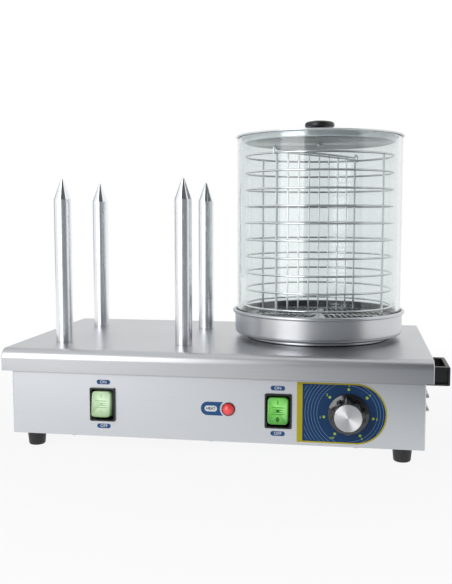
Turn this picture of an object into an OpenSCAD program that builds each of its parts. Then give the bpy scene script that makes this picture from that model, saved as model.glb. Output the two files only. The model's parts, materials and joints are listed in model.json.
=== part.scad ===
// Hot dog machine: four heated bun spikes beside a glass sausage steamer on one electric base.
// Millimetres, +Z up, X across, -Y towards the user. Origin: middle of the outline, on the floor.

/* [Cover and housing] */
// Width of the top cover over its side skirts
cover_w = 476; // [450:1:540]
// Depth of the top cover, front to back
cover_d = 278; // [264:1:320]
// Height of the cover's folded skirt
skirt_h = 25; // [22:0.5:32]
// Outer radius of the rolled front edge
front_bend_r = 11; // [6:0.5:14]
// Sheet thickness of cover, housing and bottom plate
sheet_t = 1.2; // [1:0.1:1.6]
// Height of the housing below the skirt
panel_h = 74; // [70:1:100]
// Step from the cover's side skirt in to the housing
side_inset = 7; // [5:0.5:12]
// Step from the cover's front edge in to the control panel
front_inset = 13; // [9:0.5:18]
// Step from the cover's back edge in to the back panel
back_inset = 13; // [12:0.5:18]
// Width of the housing's upper fixing flange
top_flange_w = 12; // [11:0.5:16]
// Width of the housing's lower fixing flange
bottom_flange_w = 7; // [6:0.5:8]
// Gap around the bottom plate and between loose sheet faces
sheet_gap = 0.2; // [0.1:0.05:0.4]

/* [Feet] */
// Height of a rubber foot
foot_h = 16; // [12:0.5:30]
// Diameter of a foot where it meets the base
foot_top_d = 21.5; // [19:0.5:24]
// Diameter of a foot at the floor
foot_floor_d = 18.4; // [15:0.2:20]
// Distance of a foot's axis from the housing's side
foot_in_x = 23; // [20:0.5:40]
// Distance of a foot's axis from the housing's front or back
foot_in_y = 14; // [13:0.5:30]
// Depth of the screw pocket in a foot
foot_pocket = 7; // [5:0.5:9]

/* [Spikes] */
// Diameter of a bun spike
spike_d = 20; // [18:0.5:24]
// Height of a spike above the cover
spike_h = 192.5; // [150:0.5:240]
// Length of the pointed end
spike_cone_h = 24.5; // [15:0.5:40]
// Diameter of the blunt tip
spike_tip_d = 2.8; // [1:0.2:5]
// Distance between spikes across the machine
spike_pitch_x = 145; // [110:1:150]
// Distance between spikes front to back
spike_pitch_y = 140; // [100:1:160]
// Distance of the spikes' middle to the left of the cover's middle
spikes_left = 113.5; // [105:0.5:120]
// Distance of the spikes' middle in front of the cover's middle
spikes_front = 5; // [0:0.5:15]
// Diameter of a spike's threaded shank
shank_d = 15; // [14:0.5:16]
// Length of the shank below the spike's shoulder
shank_len = 16; // [12:0.5:24]
// Diameter of the bore for the cartridge heater
heater_bore_d = 11; // [8:0.2:12]

/* [Steamer] */
// Outer diameter of the glass cylinder
glass_d = 200; // [190:1:210]
// Wall of the glass cylinder
glass_t = 5; // [3.5:0.1:6]
// Height of the glass cylinder above the basket's top ring
glass_h = 22.4; // [16:0.2:68]
// Distance of the steamer's axis to the right of the cover's middle
steamer_right = 109; // [100:0.5:120]
// Distance of the steamer's axis behind the cover's middle
steamer_back = 18; // [0:0.5:24]
// Gap between the glass and the water pan's wall
pan_gap = 1.4; // [1:0.1:3]
// Sheet thickness of the water pan
pan_t = 1; // [0.8:0.1:1.5]
// Height of the pan's rim above the cover
pan_rim_h = 33; // [28:0.5:40]
// Diameter of the rolled bead on the pan's rim
pan_bead_d = 4.5; // [3:0.1:5]
// Outer radius of the pan's lower corner
pan_corner_r = 8; // [4:0.5:8]
// Diameter of the sump the pan stands on
sump_d = 175; // [165:1:178]
// Depth of the sump below the pan's ledge
sump_h = 5; // [4:0.5:8]

/* [Lid] */
// Sheet thickness of the lid
lid_t = 0.8; // [0.6:0.1:1.2]
// Overhang of the lid's rim past the glass
lid_overhang = 2.2; // [1:0.1:4]
// Gap between the lid's plug and the glass
lid_plug_gap = 3.4; // [1:0.1:5]
// Depth of the lid's plug
lid_plug_h = 7; // [5:0.5:12]
// Diameter of the lid's knob
lid_knob_d = 36; // [30:0.5:44]
// Height of the lid's knob
lid_knob_h = 27.2; // [24:0.2:32]
// Diameter of the knob's screw
lid_screw_d = 4; // [3:0.5:5]
// Length of the knob's screw
lid_screw_len = 12; // [8:0.5:16]

/* [Basket] */
// Number of rings
ring_count = 10; // [6:1:12]
// Height of one ring space
ring_pitch = 20; // [15:0.5:22]
// Wire diameter of a ring
ring_wire_d = 2.4; // [2:0.1:3]
// Wire diameter of an upright
post_wire_d = 3; // [2.4:0.1:4]
// Wire diameter of the divider
divider_wire_d = 2.2; // [1.8:0.1:2.8]
// Number of wires in the divider
divider_wires = 7; // [5:2:9]
// Gap between the basket's rings and the glass
basket_gap = 4.3; // [4:0.1:8]
// Turn of the divider from front to back, anticlockwise from above
divider_turn = 30; // [0:1:60]
// Height of the basket's floor above the cover
floor_z = 28; // [24:0.5:34]
// Height of the lowest ring above the basket's floor
low_ring_up = 12.5; // [8:0.5:20]
// Sheet thickness of the basket's floor
floor_t = 0.8; // [0.6:0.1:1.2]
// Gap between the basket's floor and the glass
floor_gap = 2; // [1.5:0.1:3]
// Slots in each ring of the perforated floor
floor_slots = 12; // [8:1:16]
// Width of a floor slot
slot_w = 5; // [3:0.5:6]
// Height of the lifting rail above the top ring
lift_rail_up = 4; // [3.5:0.1:6]
// Gap between a hook and the ring it goes over
hook_gap = 0.9; // [0.5:0.1:1.2]
// Gap between wires that are spot welded together
weld_gap = 0.05; // [0.02:0.01:0.1]

/* [Controls] */
// Height of the controls above the housing's lower edge
control_up = 36.6; // [34:0.2:50]
// Position of the spikes' switch across the panel
left_switch_x = -123.4; // [-160:0.2:-60]
// Position of the steamer's switch across the panel
right_switch_x = 74.9; // [60:0.1:90]
// Position of the heating lamp across the panel
lamp_x = 19.9; // [-20:0.1:30]
// Position of the thermostat's knob across the panel
dial_x = 150.3; // [140:0.1:165]
// Width of a switch's bezel
bezel_w = 29.6; // [29:0.2:32]
// Height of a switch's bezel
bezel_h = 38.2; // [37.6:0.2:42]
// Height of the bezel above the panel
bezel_t = 2.6; // [2:0.1:4]
// Overlap of the bezel onto the panel
bezel_lip = 1.4; // [1:0.1:1.6]
// Wall of the switch's case
case_t = 1.2; // [1:0.1:1.4]
// Depth of the switch's case behind the panel's face
case_depth = 26; // [22:0.5:32]
// Depth of the rocker's well behind the panel's face
well_depth = 13; // [12:0.5:16]
// Gap at each side of the rocker
rocker_side_gap = 1.2; // [0.8:0.1:2]
// Gap above and below the rocker at mid travel
rocker_end_gap = 2.1; // [2:0.1:3]
// How far the rocker's ends stand out at mid travel
rocker_proud = 7.6; // [6:0.2:9]
// How deep the rocker's middle is dished
rocker_dish = 1.6; // [0.5:0.1:2.5]
// Depth of the rocker's pivot behind the panel's face
pivot_depth = 3; // [2:0.2:4]
// Diameter of the rocker's pivot
pivot_d = 3; // [2.5:0.1:3.5]
// Tilt of the rocker to each side
rocker_tilt = 9; // [6:0.5:10]
// Diameter of the lamp's flange
lamp_d = 14.8; // [13:0.2:18]
// Diameter of the lamp's barrel
lamp_barrel_d = 10; // [8:0.2:11]
// Height of the lens's dome above the flange
lens_h = 4; // [3:0.2:5]

/* [Thermostat] */
// Diameter of the knob's skirt
dial_d = 44; // [42:0.5:48]
// Diameter of the knob's grip
dial_grip_d = 36.4; // [34.6:0.2:38]
// Height of the knob, from its skirt to the front of its grip
dial_h = 19.5; // [16:0.5:24]
// Number of finger flutes in the grip
dial_flutes = 10; // [8:1:12]
// Diameter of the knob's metal cap
dial_cap_d = 29.2; // [26:0.2:30]
// How far the cap stands out of the grip
dial_cap_proud = 0.6; // [0.2:0.1:1.5]
// Gap between the knob and the panel
dial_gap = 1; // [0.7:0.1:2]
// Diameter of the thermostat's spindle
spindle_d = 6; // [5:0.5:8]
// Width of the thermostat's case
thermostat_w = 38; // [36:1:44]
// Depth of the thermostat's case
thermostat_depth = 30; // [26:1:36]
// Distance between the thermostat's two fixing screws
thermostat_screw_pitch = 27; // [22:0.5:28]
// Thickness of the printed film round the knob
film_t = 0.3; // [0.2:0.1:0.5]
// Width of the printed film
film_w = 143; // [138:1:150]
// Height of the printed film
film_h = 66; // [60:1:68]
// Position of the film's middle across the panel
film_x = 119.6; // [117:0.2:121]

/* [Handles] */
// Length of a carrying handle along the side
handle_len = 71; // [64:1:90]
// Height of a handle
handle_h = 22; // [18:0.5:26]
// Reach of a handle from the housing's side
handle_reach = 34.3; // [30:0.5:42]
// Thickness of the handle's bar
handle_bar_t = 4.8; // [4:0.2:7]
// Thickness of the handle's foot against the side
handle_foot_t = 4.5; // [4:0.2:6]
// Thickness of the handle's legs
handle_leg_t = 8; // [7:0.5:10]
// Depth of the moulded pocket in a leg's end
handle_pocket = 3; // [2:0.2:3.6]
// Gap between a handle and the skirt above it
handle_drop = 0.5; // [0.3:0.1:4]

/* [Louvres] */
// Rows of pressed louvres in a side panel
louvre_rows = 2; // [1:1:3]
// Length of a louvre
louvre_len = 60; // [40:1:70]
// Height of a louvre
louvre_h = 8.2; // [7:0.2:10]
// Height from one louvre to the next
louvre_pitch = 14.3; // [12:0.1:18]
// How far a louvre stands out
louvre_out = 4; // [3:0.2:5]
// Distance of the louvres from the housing's front
louvre_in = 8; // [6:0.5:14]
// Distance of the upper louvre below the skirt
louvre_drop = 10.7; // [8:0.1:14]

/* [Fits and fasteners] */
// Radial clearance of a pivot or spindle that turns
run_gap = 0.05; // [0.02:0.01:0.08]
// Radial clearance of a screw in its own thread
thread_gap = 0.05; // [0.02:0.01:0.1]
// Radial clearance of a part that passes through a sheet
hole_gap = 0.3; // [0.2:0.05:0.5]
// Gap between faces of parts that lift or slide apart
lift_gap = 0.1; // [0.05:0.05:0.3]
// Diameter of the small machine screws and studs
screw_d = 4; // [3:0.5:4]
// Height of a small screw's head
screw_head_h = 2.4; // [2:0.1:3]
// Thickness of a small nut
nut_h = 3.2; // [2.4:0.2:4]

/* [Heater] */
// Diameter of the heating plate under the pan
plate_d = 148; // [130:1:150]
// Thickness of the heating plate
plate_t = 12; // [10:0.5:16]
// Gap between the heating plate and the cover's opening
plate_gap = 4; // [2:0.5:5]
// Diameter of the stud under the pan
stud_d = 6; // [5:0.5:8]
// Thickness of the clamp strip
clamp_t = 3; // [2:0.5:4]
// Width of the clamp strip
clamp_w = 30; // [20:1:40]
// Bearing length of the clamp strip on the cover
clamp_foot = 10; // [8:1:14]
// Diameter of the thermostat's sensing bulb
bulb_d = 6; // [4:0.5:7]
// Length of the sensing bulb
bulb_len = 52; // [40:1:56]
// Diameter of the capillary tube
capillary_d = 2; // [1.5:0.1:3]

/* [Rear inlet and wiring] */
// Position of the cable gland across the back panel
gland_x = 180; // [150:1:190]
// Height of the cable gland above the housing's lower edge
gland_up = 24; // [20:1:40]
// Diameter of the gland's threaded barrel
gland_d = 16; // [12:0.5:20]
// Bore of the gland
gland_bore_d = 8; // [6:0.5:9]
// Reach of the gland behind the back panel
gland_reach = 11; // [8:0.5:11.5]
// Length of the terminal block
block_w = 44; // [36:1:60]
// Depth of the terminal block
block_d = 20; // [16:1:26]
// Height of the terminal block
block_h = 17; // [14:0.5:22]
// Distance of the terminal block to the left of the gland
block_left = 70; // [60:1:90]
// Distance of the terminal block in front of the back panel
block_in = 60; // [50:1:90]
// Diameter of the insulated wires
wire_d = 3; // [2:0.1:3.6]

/* [Hidden] */
$fn = 64;
// Overlap that lets a cutting shape pass its face
eps = 0.5;

// Levels
housing_z = foot_h;
skirt_z = housing_z + panel_h;
cover_z = skirt_z + skirt_h;
control_z = housing_z + control_up;
inside_z = housing_z + 2 * sheet_t + sheet_gap;
housing_top_z = cover_z - sheet_t - sheet_gap;

// Plan: the knob reaches past the cover's front edge, so the outline's middle lies a little forward
dial_reach = dial_gap + dial_h + dial_cap_proud - front_inset;
front_reach = max(0, dial_reach);
front_y = (front_reach - cover_d) / 2;
back_y = front_y + cover_d;
mid_y = (front_y + back_y) / 2;
panel_y = front_y + front_inset;
rear_y = back_y - back_inset;
half_w = cover_w / 2 - side_inset;
inner_w = half_w - sheet_t;

// Steamer stack above the cover
axis_x = steamer_right;
axis_y = mid_y + steamer_back;
glass_r = glass_d / 2;
glass_in_r = glass_r - glass_t;
pan_in_r = glass_r + pan_gap;
pan_r = pan_in_r + pan_t;
ledge_z = sump_h + pan_t;
corner_in_r = pan_corner_r - pan_t;
glass_chamfer = 1;
// The glass stands on the round of the pan's corner
glass_low_reach = glass_r - glass_chamfer - (pan_in_r - corner_in_r);
glass_side_reach = glass_r - (pan_in_r - corner_in_r);
function held(reach) = max(0, min(reach, corner_in_r));
function round_rise(reach) = corner_in_r - sqrt(pow(corner_in_r, 2) - pow(held(reach), 2));
glass_z = ledge_z + max(round_rise(glass_low_reach), round_rise(glass_side_reach) - glass_chamfer) + lift_gap;

// Basket
ring_r = glass_in_r - basket_gap - ring_wire_d / 2;
post_r = ring_r - (ring_wire_d + post_wire_d) / 2 - weld_gap;
low_ring_z = floor_z + low_ring_up;
top_ring_z = low_ring_z + (ring_count - 1) * ring_pitch;
post_z0 = floor_z + weld_gap;
post_z1 = top_ring_z + ring_wire_d / 2;
floor_r = glass_in_r - floor_gap;
upright_pitch = 2 * post_r / (divider_wires + 1);
rail_z = top_ring_z + lift_rail_up;
low_rail_z = top_ring_z + 1;
hook_r = (ring_wire_d + divider_wire_d) / 2 + hook_gap;
hook_drop = 6;
floor_slot_rows = 3;

// The glass reaches past the basket and carries the lid
glass_top_z = top_ring_z + glass_h;
lid_z = glass_top_z + lift_gap;
lid_rim_r = glass_r + lid_overhang;
plug_r = glass_in_r - lid_plug_gap;
dish_z = lid_z + lid_t - lid_plug_h;
lid_hole_r = lid_screw_d / 2 + hole_gap;

// Controls
case_w = bezel_w - 2 * bezel_lip;
case_h = bezel_h - 2 * bezel_lip;
well_w = case_w - 2 * case_t;
well_h = case_h - 2 * case_t;
rocker_w = well_w - 2 * rocker_side_gap;
rocker_h = well_h - 2 * rocker_end_gap;
pivot_y = panel_y + pivot_depth;
tab_w = 6.3;
tab_t = 0.8;
tab_len = 9;
rib_count = 3;
rib_pitch = 2.2;

// Louvres and handles
louvre_y = panel_y + louvre_in;
handle_z = skirt_z - handle_drop - handle_h;
handle_mid_y = mid_y;
handle_screw_len = 9;

// Fasteners
thermostat_screw_len = 6;
// Room past a screw's end in its hole
screw_room = 1;
screw_r = screw_d / 2;
screw_head_r = screw_d * 0.95;
nut_af = screw_d * 1.75;
stud_len = 10;
plate_screw_d = 3;
plate_screw_head_r = 3;
plate_screw_head_h = 1;
fix_x = [-cover_w / 3, 0, cover_w / 3];
flange_mid = sheet_t + top_flange_w / 2;
low_flange_mid = sheet_t + bottom_flange_w / 2;
foot_x = half_w - foot_in_x;
foot_front_y = panel_y + foot_in_y;
foot_back_y = rear_y - foot_in_y;

// Heater
opening_r = plate_d / 2 + plate_gap;
clamp_reach = opening_r + 6;
stud_z1 = cover_z - plate_t - clamp_t - 12;
bulb_z = cover_z - plate_t / 2;
bulb_y = axis_y - plate_d / 2;
thermostat_y = panel_y + sheet_t;

// Shared shapes

// Extrudes a Y-Z outline along X
module along_x(x0, len) {
    translate([x0, 0, 0]) rotate([90, 0, 90]) linear_extrude(len) children();
}

// Extrudes an X-Z outline along Y
module along_y(y0, len) {
    translate([0, y0 + len, 0]) rotate([90, 0, 0]) linear_extrude(len) children();
}

// A round bar along Y
module bar_y(x, y0, z, len, r) {
    translate([x, y0 + len, z]) rotate([90, 0, 0]) cylinder(h = len, r = r);
}

// A box from its low corner to its high corner
module box(low, high) {
    translate(low) cube(high - low);
}

// A rectangle with round corners, about its middle
module soft_rect(w, h, r) {
    square([w - 2 * r, h], center = true);
    square([w, h - 2 * r], center = true);
    for (sx = [-1, 1], sy = [-1, 1])
        translate([sx * (w / 2 - r), sy * (h / 2 - r)]) circle(r);
}

// A hexagon nut standing on z = 0
module hex_nut(af, h, hole_r) {
    difference() {
        cylinder(h = h, r = af / sqrt(3), $fn = 6);
        translate([0, 0, -eps]) cylinder(h = h + 2 * eps, r = hole_r);
    }
}

// A pan-head screw: head below z = 0, shank upwards
module pan_screw(d, len, head_r, head_h) {
    translate([0, 0, -head_h]) cylinder(h = head_h, r = head_r);
    cylinder(h = len, r = d / 2);
}

// A bent tube through a list of points: each ring of corners slides along its run to the next mitre plane
tube_sides = 8;
function unit(v) = v / norm(v);
function run_dir(p, i) = unit(p[i + 1] - p[i]);
function mitre(p, i) = i == len(p) - 1 ? run_dir(p, i - 1) : unit(run_dir(p, i - 1) + run_dir(p, i));
function slid(q, dir, at, normal) = q + dir * (((at - q) * normal) / (dir * normal));
function first_ring(p, r) =
    let (dir = run_dir(p, 0), side = unit(cross(dir, abs(dir[2]) > 0.9 ? [1, 0, 0] : [0, 0, 1])))
    let (up = cross(dir, side), step = 360 / tube_sides)
    [for (k = [0 : tube_sides - 1]) p[0] + r * (cos(k * step) * side + sin(k * step) * up)];
function rings_from(p, ring, i) = i == len(p) ? [] :
    let (next = [for (q = ring) slid(q, run_dir(p, i - 1), p[i], mitre(p, i))])
    concat([next], rings_from(p, next, i + 1));

module routed_tube(points, r) {
    n = tube_sides;
    last = (len(points) - 1) * n;
    start = first_ring(points, r);
    rings = concat([start], rings_from(points, start, 1));
    corners = [for (ring = rings) each ring];
    flats = [for (i = [0 : len(points) - 2], k = [0 : n - 1])
        let (a = i * n + k, b = i * n + (k + 1) % n) each [[a, a + n, b + n], [a, b + n, b]]];
    near_end = [for (k = [0 : n - 1]) k];
    far_end = [for (k = [n - 1 : -1 : 0]) last + k];
    polyhedron(corners, concat([near_end], flats, [far_end]));
}

module at_spikes() {
    for (sx = [-1, 1], sy = [-1, 1]) spike_place(sx, sy) children();
}

module at_feet() {
    for (sx = [-1, 1], y = [foot_front_y, foot_back_y]) translate([sx * foot_x, y, 0]) children();
}

module at_cover_studs() {
    for (x = fix_x, y = [panel_y + flange_mid, rear_y - flange_mid]) translate([x, y, cover_z]) children();
}

module at_plate_screws() {
    for (x = fix_x, y = [panel_y + low_flange_mid, rear_y - low_flange_mid])
        translate([x, y, housing_z]) children();
}

module at_steamer() {
    translate([axis_x, axis_y, cover_z]) children();
}

// Base

// Side outline of the cover, set in all round by the sheet for its inside
module cover_outline(inset, low_z) {
    r = front_bend_r - inset;
    y0 = front_y + inset;
    y1 = back_y - inset;
    z1 = cover_z - inset;
    translate([y0 + r, low_z]) square([y1 - y0 - r, z1 - low_z]);
    translate([y0, low_z]) square([y1 - y0, z1 - r - low_z]);
    translate([y0 + r, z1 - r]) circle(r);
}

module top_cover() {
    color([0.75, 0.76, 0.77]) {
        difference() {
            along_x(-cover_w / 2, cover_w) cover_outline(0, skirt_z);
            along_x(-cover_w / 2 + sheet_t, cover_w - 2 * sheet_t) cover_outline(sheet_t, skirt_z - eps);
            at_spikes() translate([0, 0, -sheet_t - eps])
                cylinder(h = sheet_t + 2 * eps, r = shank_d / 2 + hole_gap);
            at_steamer() translate([0, 0, -sheet_t - eps]) cylinder(h = sheet_t + 2 * eps, r = opening_r);
        }
        at_cover_studs() translate([0, 0, -sheet_t - stud_len])
            cylinder(h = stud_len + sheet_t / 2, r = screw_r);
    }
}

module cover_nuts() {
    color([0.7, 0.7, 0.7])
        at_cover_studs() translate([0, 0, -2 * sheet_t - sheet_gap - nut_h])
            hex_nut(nut_af, nut_h, screw_r + thread_gap);
}

// One pressed louvre on the right side, open below
module louvre(z_top) {
    z_low = z_top - louvre_h;
    lip = sheet_t * 1.5;
    difference() {
        along_y(louvre_y, louvre_len)
            polygon([[half_w - sheet_t / 2, z_top], [half_w, z_top], [half_w + louvre_out, z_low + lip],
                [half_w + louvre_out, z_low], [half_w - sheet_t / 2, z_low]]);
        along_y(louvre_y + sheet_t, louvre_len - 2 * sheet_t)
            polygon([[half_w - sheet_t, z_top - 2 * sheet_t], [half_w, z_top - 2 * sheet_t],
                [half_w + louvre_out - sheet_t, z_low + lip - sheet_t / 2],
                [half_w + louvre_out - sheet_t, z_low - eps], [half_w - sheet_t, z_low - eps]]);
    }
}

// The slot behind each louvre
module side_slots() {
    for (i = [0 : louvre_rows - 1]) {
        z_top = skirt_z - louvre_drop - i * louvre_pitch;
        box([half_w - 2 * sheet_t, louvre_y + sheet_t, z_top - louvre_h + sheet_t],
            [half_w + eps, louvre_y + louvre_len - sheet_t, z_top - 2 * sheet_t]);
    }
}

module at_handle_screws() {
    for (sy = [-1, 1])
        translate([half_w, handle_mid_y + sy * (handle_len - handle_leg_t) / 2, handle_z + handle_h / 2])
            rotate([0, 90, 0]) children();
}

module switch_opening(x) {
    along_y(panel_y - eps, sheet_t + 2 * eps)
        translate([x, control_z]) square([case_w + 2 * hole_gap, case_h + 2 * hole_gap], center = true);
}

// A wall along X with its fixing flanges, its outer face on y = 0 and its inside towards +Y
module long_wall() {
    fold = sheet_t / 2;
    box([-half_w, 0, housing_z], [half_w, sheet_t, housing_top_z]);
    box([-inner_w, fold, housing_top_z - sheet_t], [inner_w, sheet_t + top_flange_w, housing_top_z]);
    box([-inner_w, fold, inside_z - sheet_t], [inner_w, sheet_t + bottom_flange_w, inside_z]);
}

// The right wall between the long walls, with its fixing flanges
module side_wall() {
    fold_x = half_w - sheet_t / 2;
    y0 = panel_y + sheet_t;
    y1 = rear_y - sheet_t;
    box([inner_w, y0, housing_z], [half_w, y1, housing_top_z]);
    box([inner_w - top_flange_w, y0 + top_flange_w, housing_top_z - sheet_t],
        [fold_x, y1 - top_flange_w, housing_top_z]);
    box([inner_w - bottom_flange_w, y0 + bottom_flange_w, inside_z - sheet_t],
        [fold_x, y1 - bottom_flange_w, inside_z]);
}

// Holes in the flanges for the cover's studs and the bottom plate's screws
module flange_holes() {
    at_cover_studs() translate([0, 0, -3 * sheet_t]) cylinder(h = 3 * sheet_t, r = screw_r + hole_gap);
    at_plate_screws() cylinder(h = 4 * sheet_t, r = plate_screw_d / 2 + thread_gap);
}

module control_panel() {
    color([0.78, 0.79, 0.8]) difference() {
        translate([0, panel_y, 0]) long_wall();
        switch_opening(left_switch_x);
        switch_opening(right_switch_x);
        bar_y(lamp_x, panel_y - eps, control_z, sheet_t + 2 * eps, lamp_barrel_d / 2 + hole_gap);
        bar_y(dial_x, panel_y - eps, control_z, sheet_t + 2 * eps, spindle_d / 2 + 2);
        at_thermostat_screws() translate([0, 0, -eps])
            cylinder(h = sheet_t + 2 * eps, r = screw_r + hole_gap);
        flange_holes();
    }
}

module back_panel() {
    color([0.78, 0.79, 0.8]) difference() {
        translate([0, rear_y, 0]) mirror([0, 1, 0]) long_wall();
        at_gland() translate([0, 0, -sheet_t - eps])
            cylinder(h = sheet_t + 2 * eps, r = gland_d / 2 + hole_gap);
        flange_holes();
    }
}

module side_panel() {
    color([0.78, 0.79, 0.8]) difference() {
        union() {
            side_wall();
            for (i = [0 : louvre_rows - 1]) louvre(skirt_z - louvre_drop - i * louvre_pitch);
        }
        side_slots();
        at_handle_screws() translate([0, 0, -sheet_t - eps])
            cylinder(h = sheet_t + 2 * eps, r = screw_r + hole_gap);
    }
}

module right_side_panel() {
    side_panel();
}

module left_side_panel() {
    mirror([1, 0, 0]) side_panel();
}

module bottom_plate() {
    vent_rows = 6;
    vent_len = 70;
    vent_w = 5;
    vent_pitch = 14;
    color([0.7, 0.71, 0.72]) difference() {
        box([-inner_w + sheet_gap, panel_y + sheet_t + sheet_gap, housing_z],
            [inner_w - sheet_gap, rear_y - sheet_t - sheet_gap, housing_z + sheet_t]);
        at_feet() translate([0, 0, housing_z - eps]) cylinder(h = sheet_t + 2 * eps, r = screw_r + hole_gap);
        at_plate_screws() translate([0, 0, -eps])
            cylinder(h = sheet_t + 2 * eps, r = plate_screw_d / 2 + hole_gap);
        for (i = [0 : vent_rows - 1])
            translate([-spikes_left, mid_y + (i - (vent_rows - 1) / 2) * vent_pitch, housing_z - eps])
                linear_extrude(sheet_t + 2 * eps) soft_rect(vent_len, vent_w, vent_w / 2 - 0.1);
    }
}

module plate_screws() {
    shank = 3 * sheet_t + sheet_gap;
    color([0.6, 0.6, 0.6])
        at_plate_screws() pan_screw(plate_screw_d, shank, plate_screw_head_r, plate_screw_head_h);
}

module rubber_feet() {
    edge_r = 1.2;
    pocket_r = screw_head_r + hole_gap;
    color([0.1, 0.1, 0.11]) at_feet() rotate_extrude() polygon([
        [screw_r + hole_gap, foot_pocket], [pocket_r, foot_pocket], [pocket_r, 0],
        [foot_floor_d / 2 - edge_r, 0], [foot_floor_d / 2, edge_r], [foot_top_d / 2, foot_h],
        [screw_r + hole_gap, foot_h]]);
}

module foot_screws() {
    color([0.65, 0.65, 0.65]) at_feet() translate([0, 0, foot_pocket])
        pan_screw(screw_d, foot_h - foot_pocket + sheet_t + nut_h + 1, screw_head_r, screw_head_h);
}

module foot_nuts() {
    color([0.7, 0.7, 0.7]) at_feet() translate([0, 0, housing_z + sheet_t])
        hex_nut(nut_af, nut_h, screw_r + thread_gap);
}

// Bun spikes

// One spike about its own axis, standing on the cover
module spike_body() {
    heater_top = spike_h - spike_cone_h - spike_d / 2;
    tip_h = spike_tip_d / 4;
    rotate_extrude() polygon([
        [heater_bore_d / 2, -shank_len], [shank_d / 2, -shank_len], [shank_d / 2, 0], [spike_d / 2, 0],
        [spike_d / 2, spike_h - spike_cone_h], [spike_tip_d / 2, spike_h - tip_h], [0, spike_h],
        [0, heater_top], [heater_bore_d / 2, heater_top]]);
}

// One of the four places of a spike, by its side and its row
module spike_place(sx, sy) {
    translate([sx * spike_pitch_x / 2 - spikes_left, mid_y - spikes_front + sy * spike_pitch_y / 2, cover_z])
        children();
}

module spike_front_left() {
    color([0.85, 0.86, 0.88]) spike_place(-1, -1) spike_body();
}

module spike_back_left() {
    color([0.85, 0.86, 0.88]) spike_place(-1, 1) spike_body();
}

module spike_front_right() {
    color([0.85, 0.86, 0.88]) spike_place(1, -1) spike_body();
}

module spike_back_right() {
    color([0.85, 0.86, 0.88]) spike_place(1, 1) spike_body();
}

// Cartridge heaters in the spikes' bores, with their ceramic lead ends below
module spike_heaters() {
    heater_r = heater_bore_d / 2 - thread_gap;
    heater_len = spike_h - spike_cone_h - spike_d / 2 + shank_len - 1;
    lead_len = 8;
    color([0.55, 0.56, 0.58]) at_spikes() {
        translate([0, 0, -shank_len]) cylinder(h = heater_len, r = heater_r);
        translate([0, 0, -shank_len - lead_len]) cylinder(h = lead_len + eps, r = heater_r - 1);
    }
}

module spike_nuts() {
    spike_nut_h = 6;
    color([0.72, 0.72, 0.72]) at_spikes() translate([0, 0, -sheet_t - spike_nut_h])
        hex_nut(shank_d * 1.5, spike_nut_h, shank_d / 2 + thread_gap);
}

// Steamer base

// Half outline of the pan's bowl with a round lower corner
module pan_outline(r, low_z, high_z, corner) {
    translate([0, low_z]) square([r - corner, high_z - low_z]);
    translate([0, low_z + corner]) square([r, high_z - low_z - corner]);
    translate([r - corner, low_z + corner]) circle(corner);
}

// The pan's wall: rolled rim, round lower corner, ledge and the wall of the sump
module water_pan() {
    bead_r = pan_bead_d / 2;
    bead_in = 1.6;
    color([0.8, 0.81, 0.82]) at_steamer() rotate_extrude($fn = 128) difference() {
        union() {
            pan_outline(pan_r, sump_h, pan_rim_h, pan_corner_r);
            translate([0, pan_t]) square([sump_d / 2, sump_h]);
            translate([pan_r + bead_r - bead_in, pan_rim_h]) circle(bead_r);
        }
        difference() {
            pan_outline(pan_in_r, ledge_z, pan_rim_h + 2 * pan_bead_d, corner_in_r);
            translate([pan_r + bead_r - bead_in, pan_rim_h]) circle(bead_r);
        }
        square([sump_d / 2 - pan_t, sump_h + 2 * pan_t]);
        translate([-pan_r, 0]) square([pan_r, pan_rim_h]);
    }
}

// The sump's welded bottom, with the stud that holds the heating plate
module pan_bottom() {
    color([0.8, 0.81, 0.82]) at_steamer() {
        cylinder(h = pan_t, r = sump_d / 2);
        translate([0, 0, stud_z1 - cover_z]) cylinder(h = cover_z - stud_z1 + pan_t / 2, r = stud_d / 2);
    }
}

module heating_plate() {
    lead_r = 4;
    lead_h = 10;
    color([0.6, 0.61, 0.62]) at_steamer() {
        difference() {
            translate([0, 0, -plate_t]) cylinder(h = plate_t, r = plate_d / 2);
            translate([0, 0, -plate_t - eps]) cylinder(h = plate_t + 2 * eps, r = stud_d / 2 + hole_gap);
            translate([0, 0, bulb_z - cover_z]) rotate([90, 0, 0])
                translate([0, 0, plate_d / 2 - bulb_len - 1])
                    cylinder(h = bulb_len + 2, r = bulb_d / 2 + thread_gap);
        }
        for (sx = [-1, 1]) translate([sx * plate_d / 5, plate_d / 3.4, -plate_t - lead_h])
            cylinder(h = lead_h + eps, r = lead_r);
    }
}

// A strip bent up at both ends, from the plate's underside to the cover's underside
module heater_clamp() {
    low = -plate_t;
    high = -sheet_t;
    knee = opening_r - 2;
    end = clamp_reach + clamp_foot;
    color([0.66, 0.67, 0.68]) at_steamer() difference() {
        translate([0, -clamp_w / 2, 0]) along_y(0, clamp_w) polygon([
            [-end, high], [-clamp_reach, high], [-knee, low], [knee, low], [clamp_reach, high], [end, high],
            [end, high - clamp_t], [clamp_reach + 1, high - clamp_t], [knee + 1, low - clamp_t],
            [-knee - 1, low - clamp_t], [-clamp_reach - 1, high - clamp_t], [-end, high - clamp_t]]);
        translate([0, 0, low - clamp_t - eps]) cylinder(h = clamp_t + 2 * eps, r = stud_d / 2 + hole_gap);
    }
}

module clamp_nut() {
    clamp_nut_h = 5;
    color([0.72, 0.72, 0.72]) at_steamer() translate([0, 0, -plate_t - clamp_t - clamp_nut_h])
        hex_nut(stud_d * 1.7, clamp_nut_h, stud_d / 2 + thread_gap);
}

// Thermostat

module at_thermostat_screws() {
    for (sx = [-1, 1]) translate([dial_x + sx * thermostat_screw_pitch / 2, panel_y, control_z])
        rotate([-90, 0, 0]) children();
}

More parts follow.
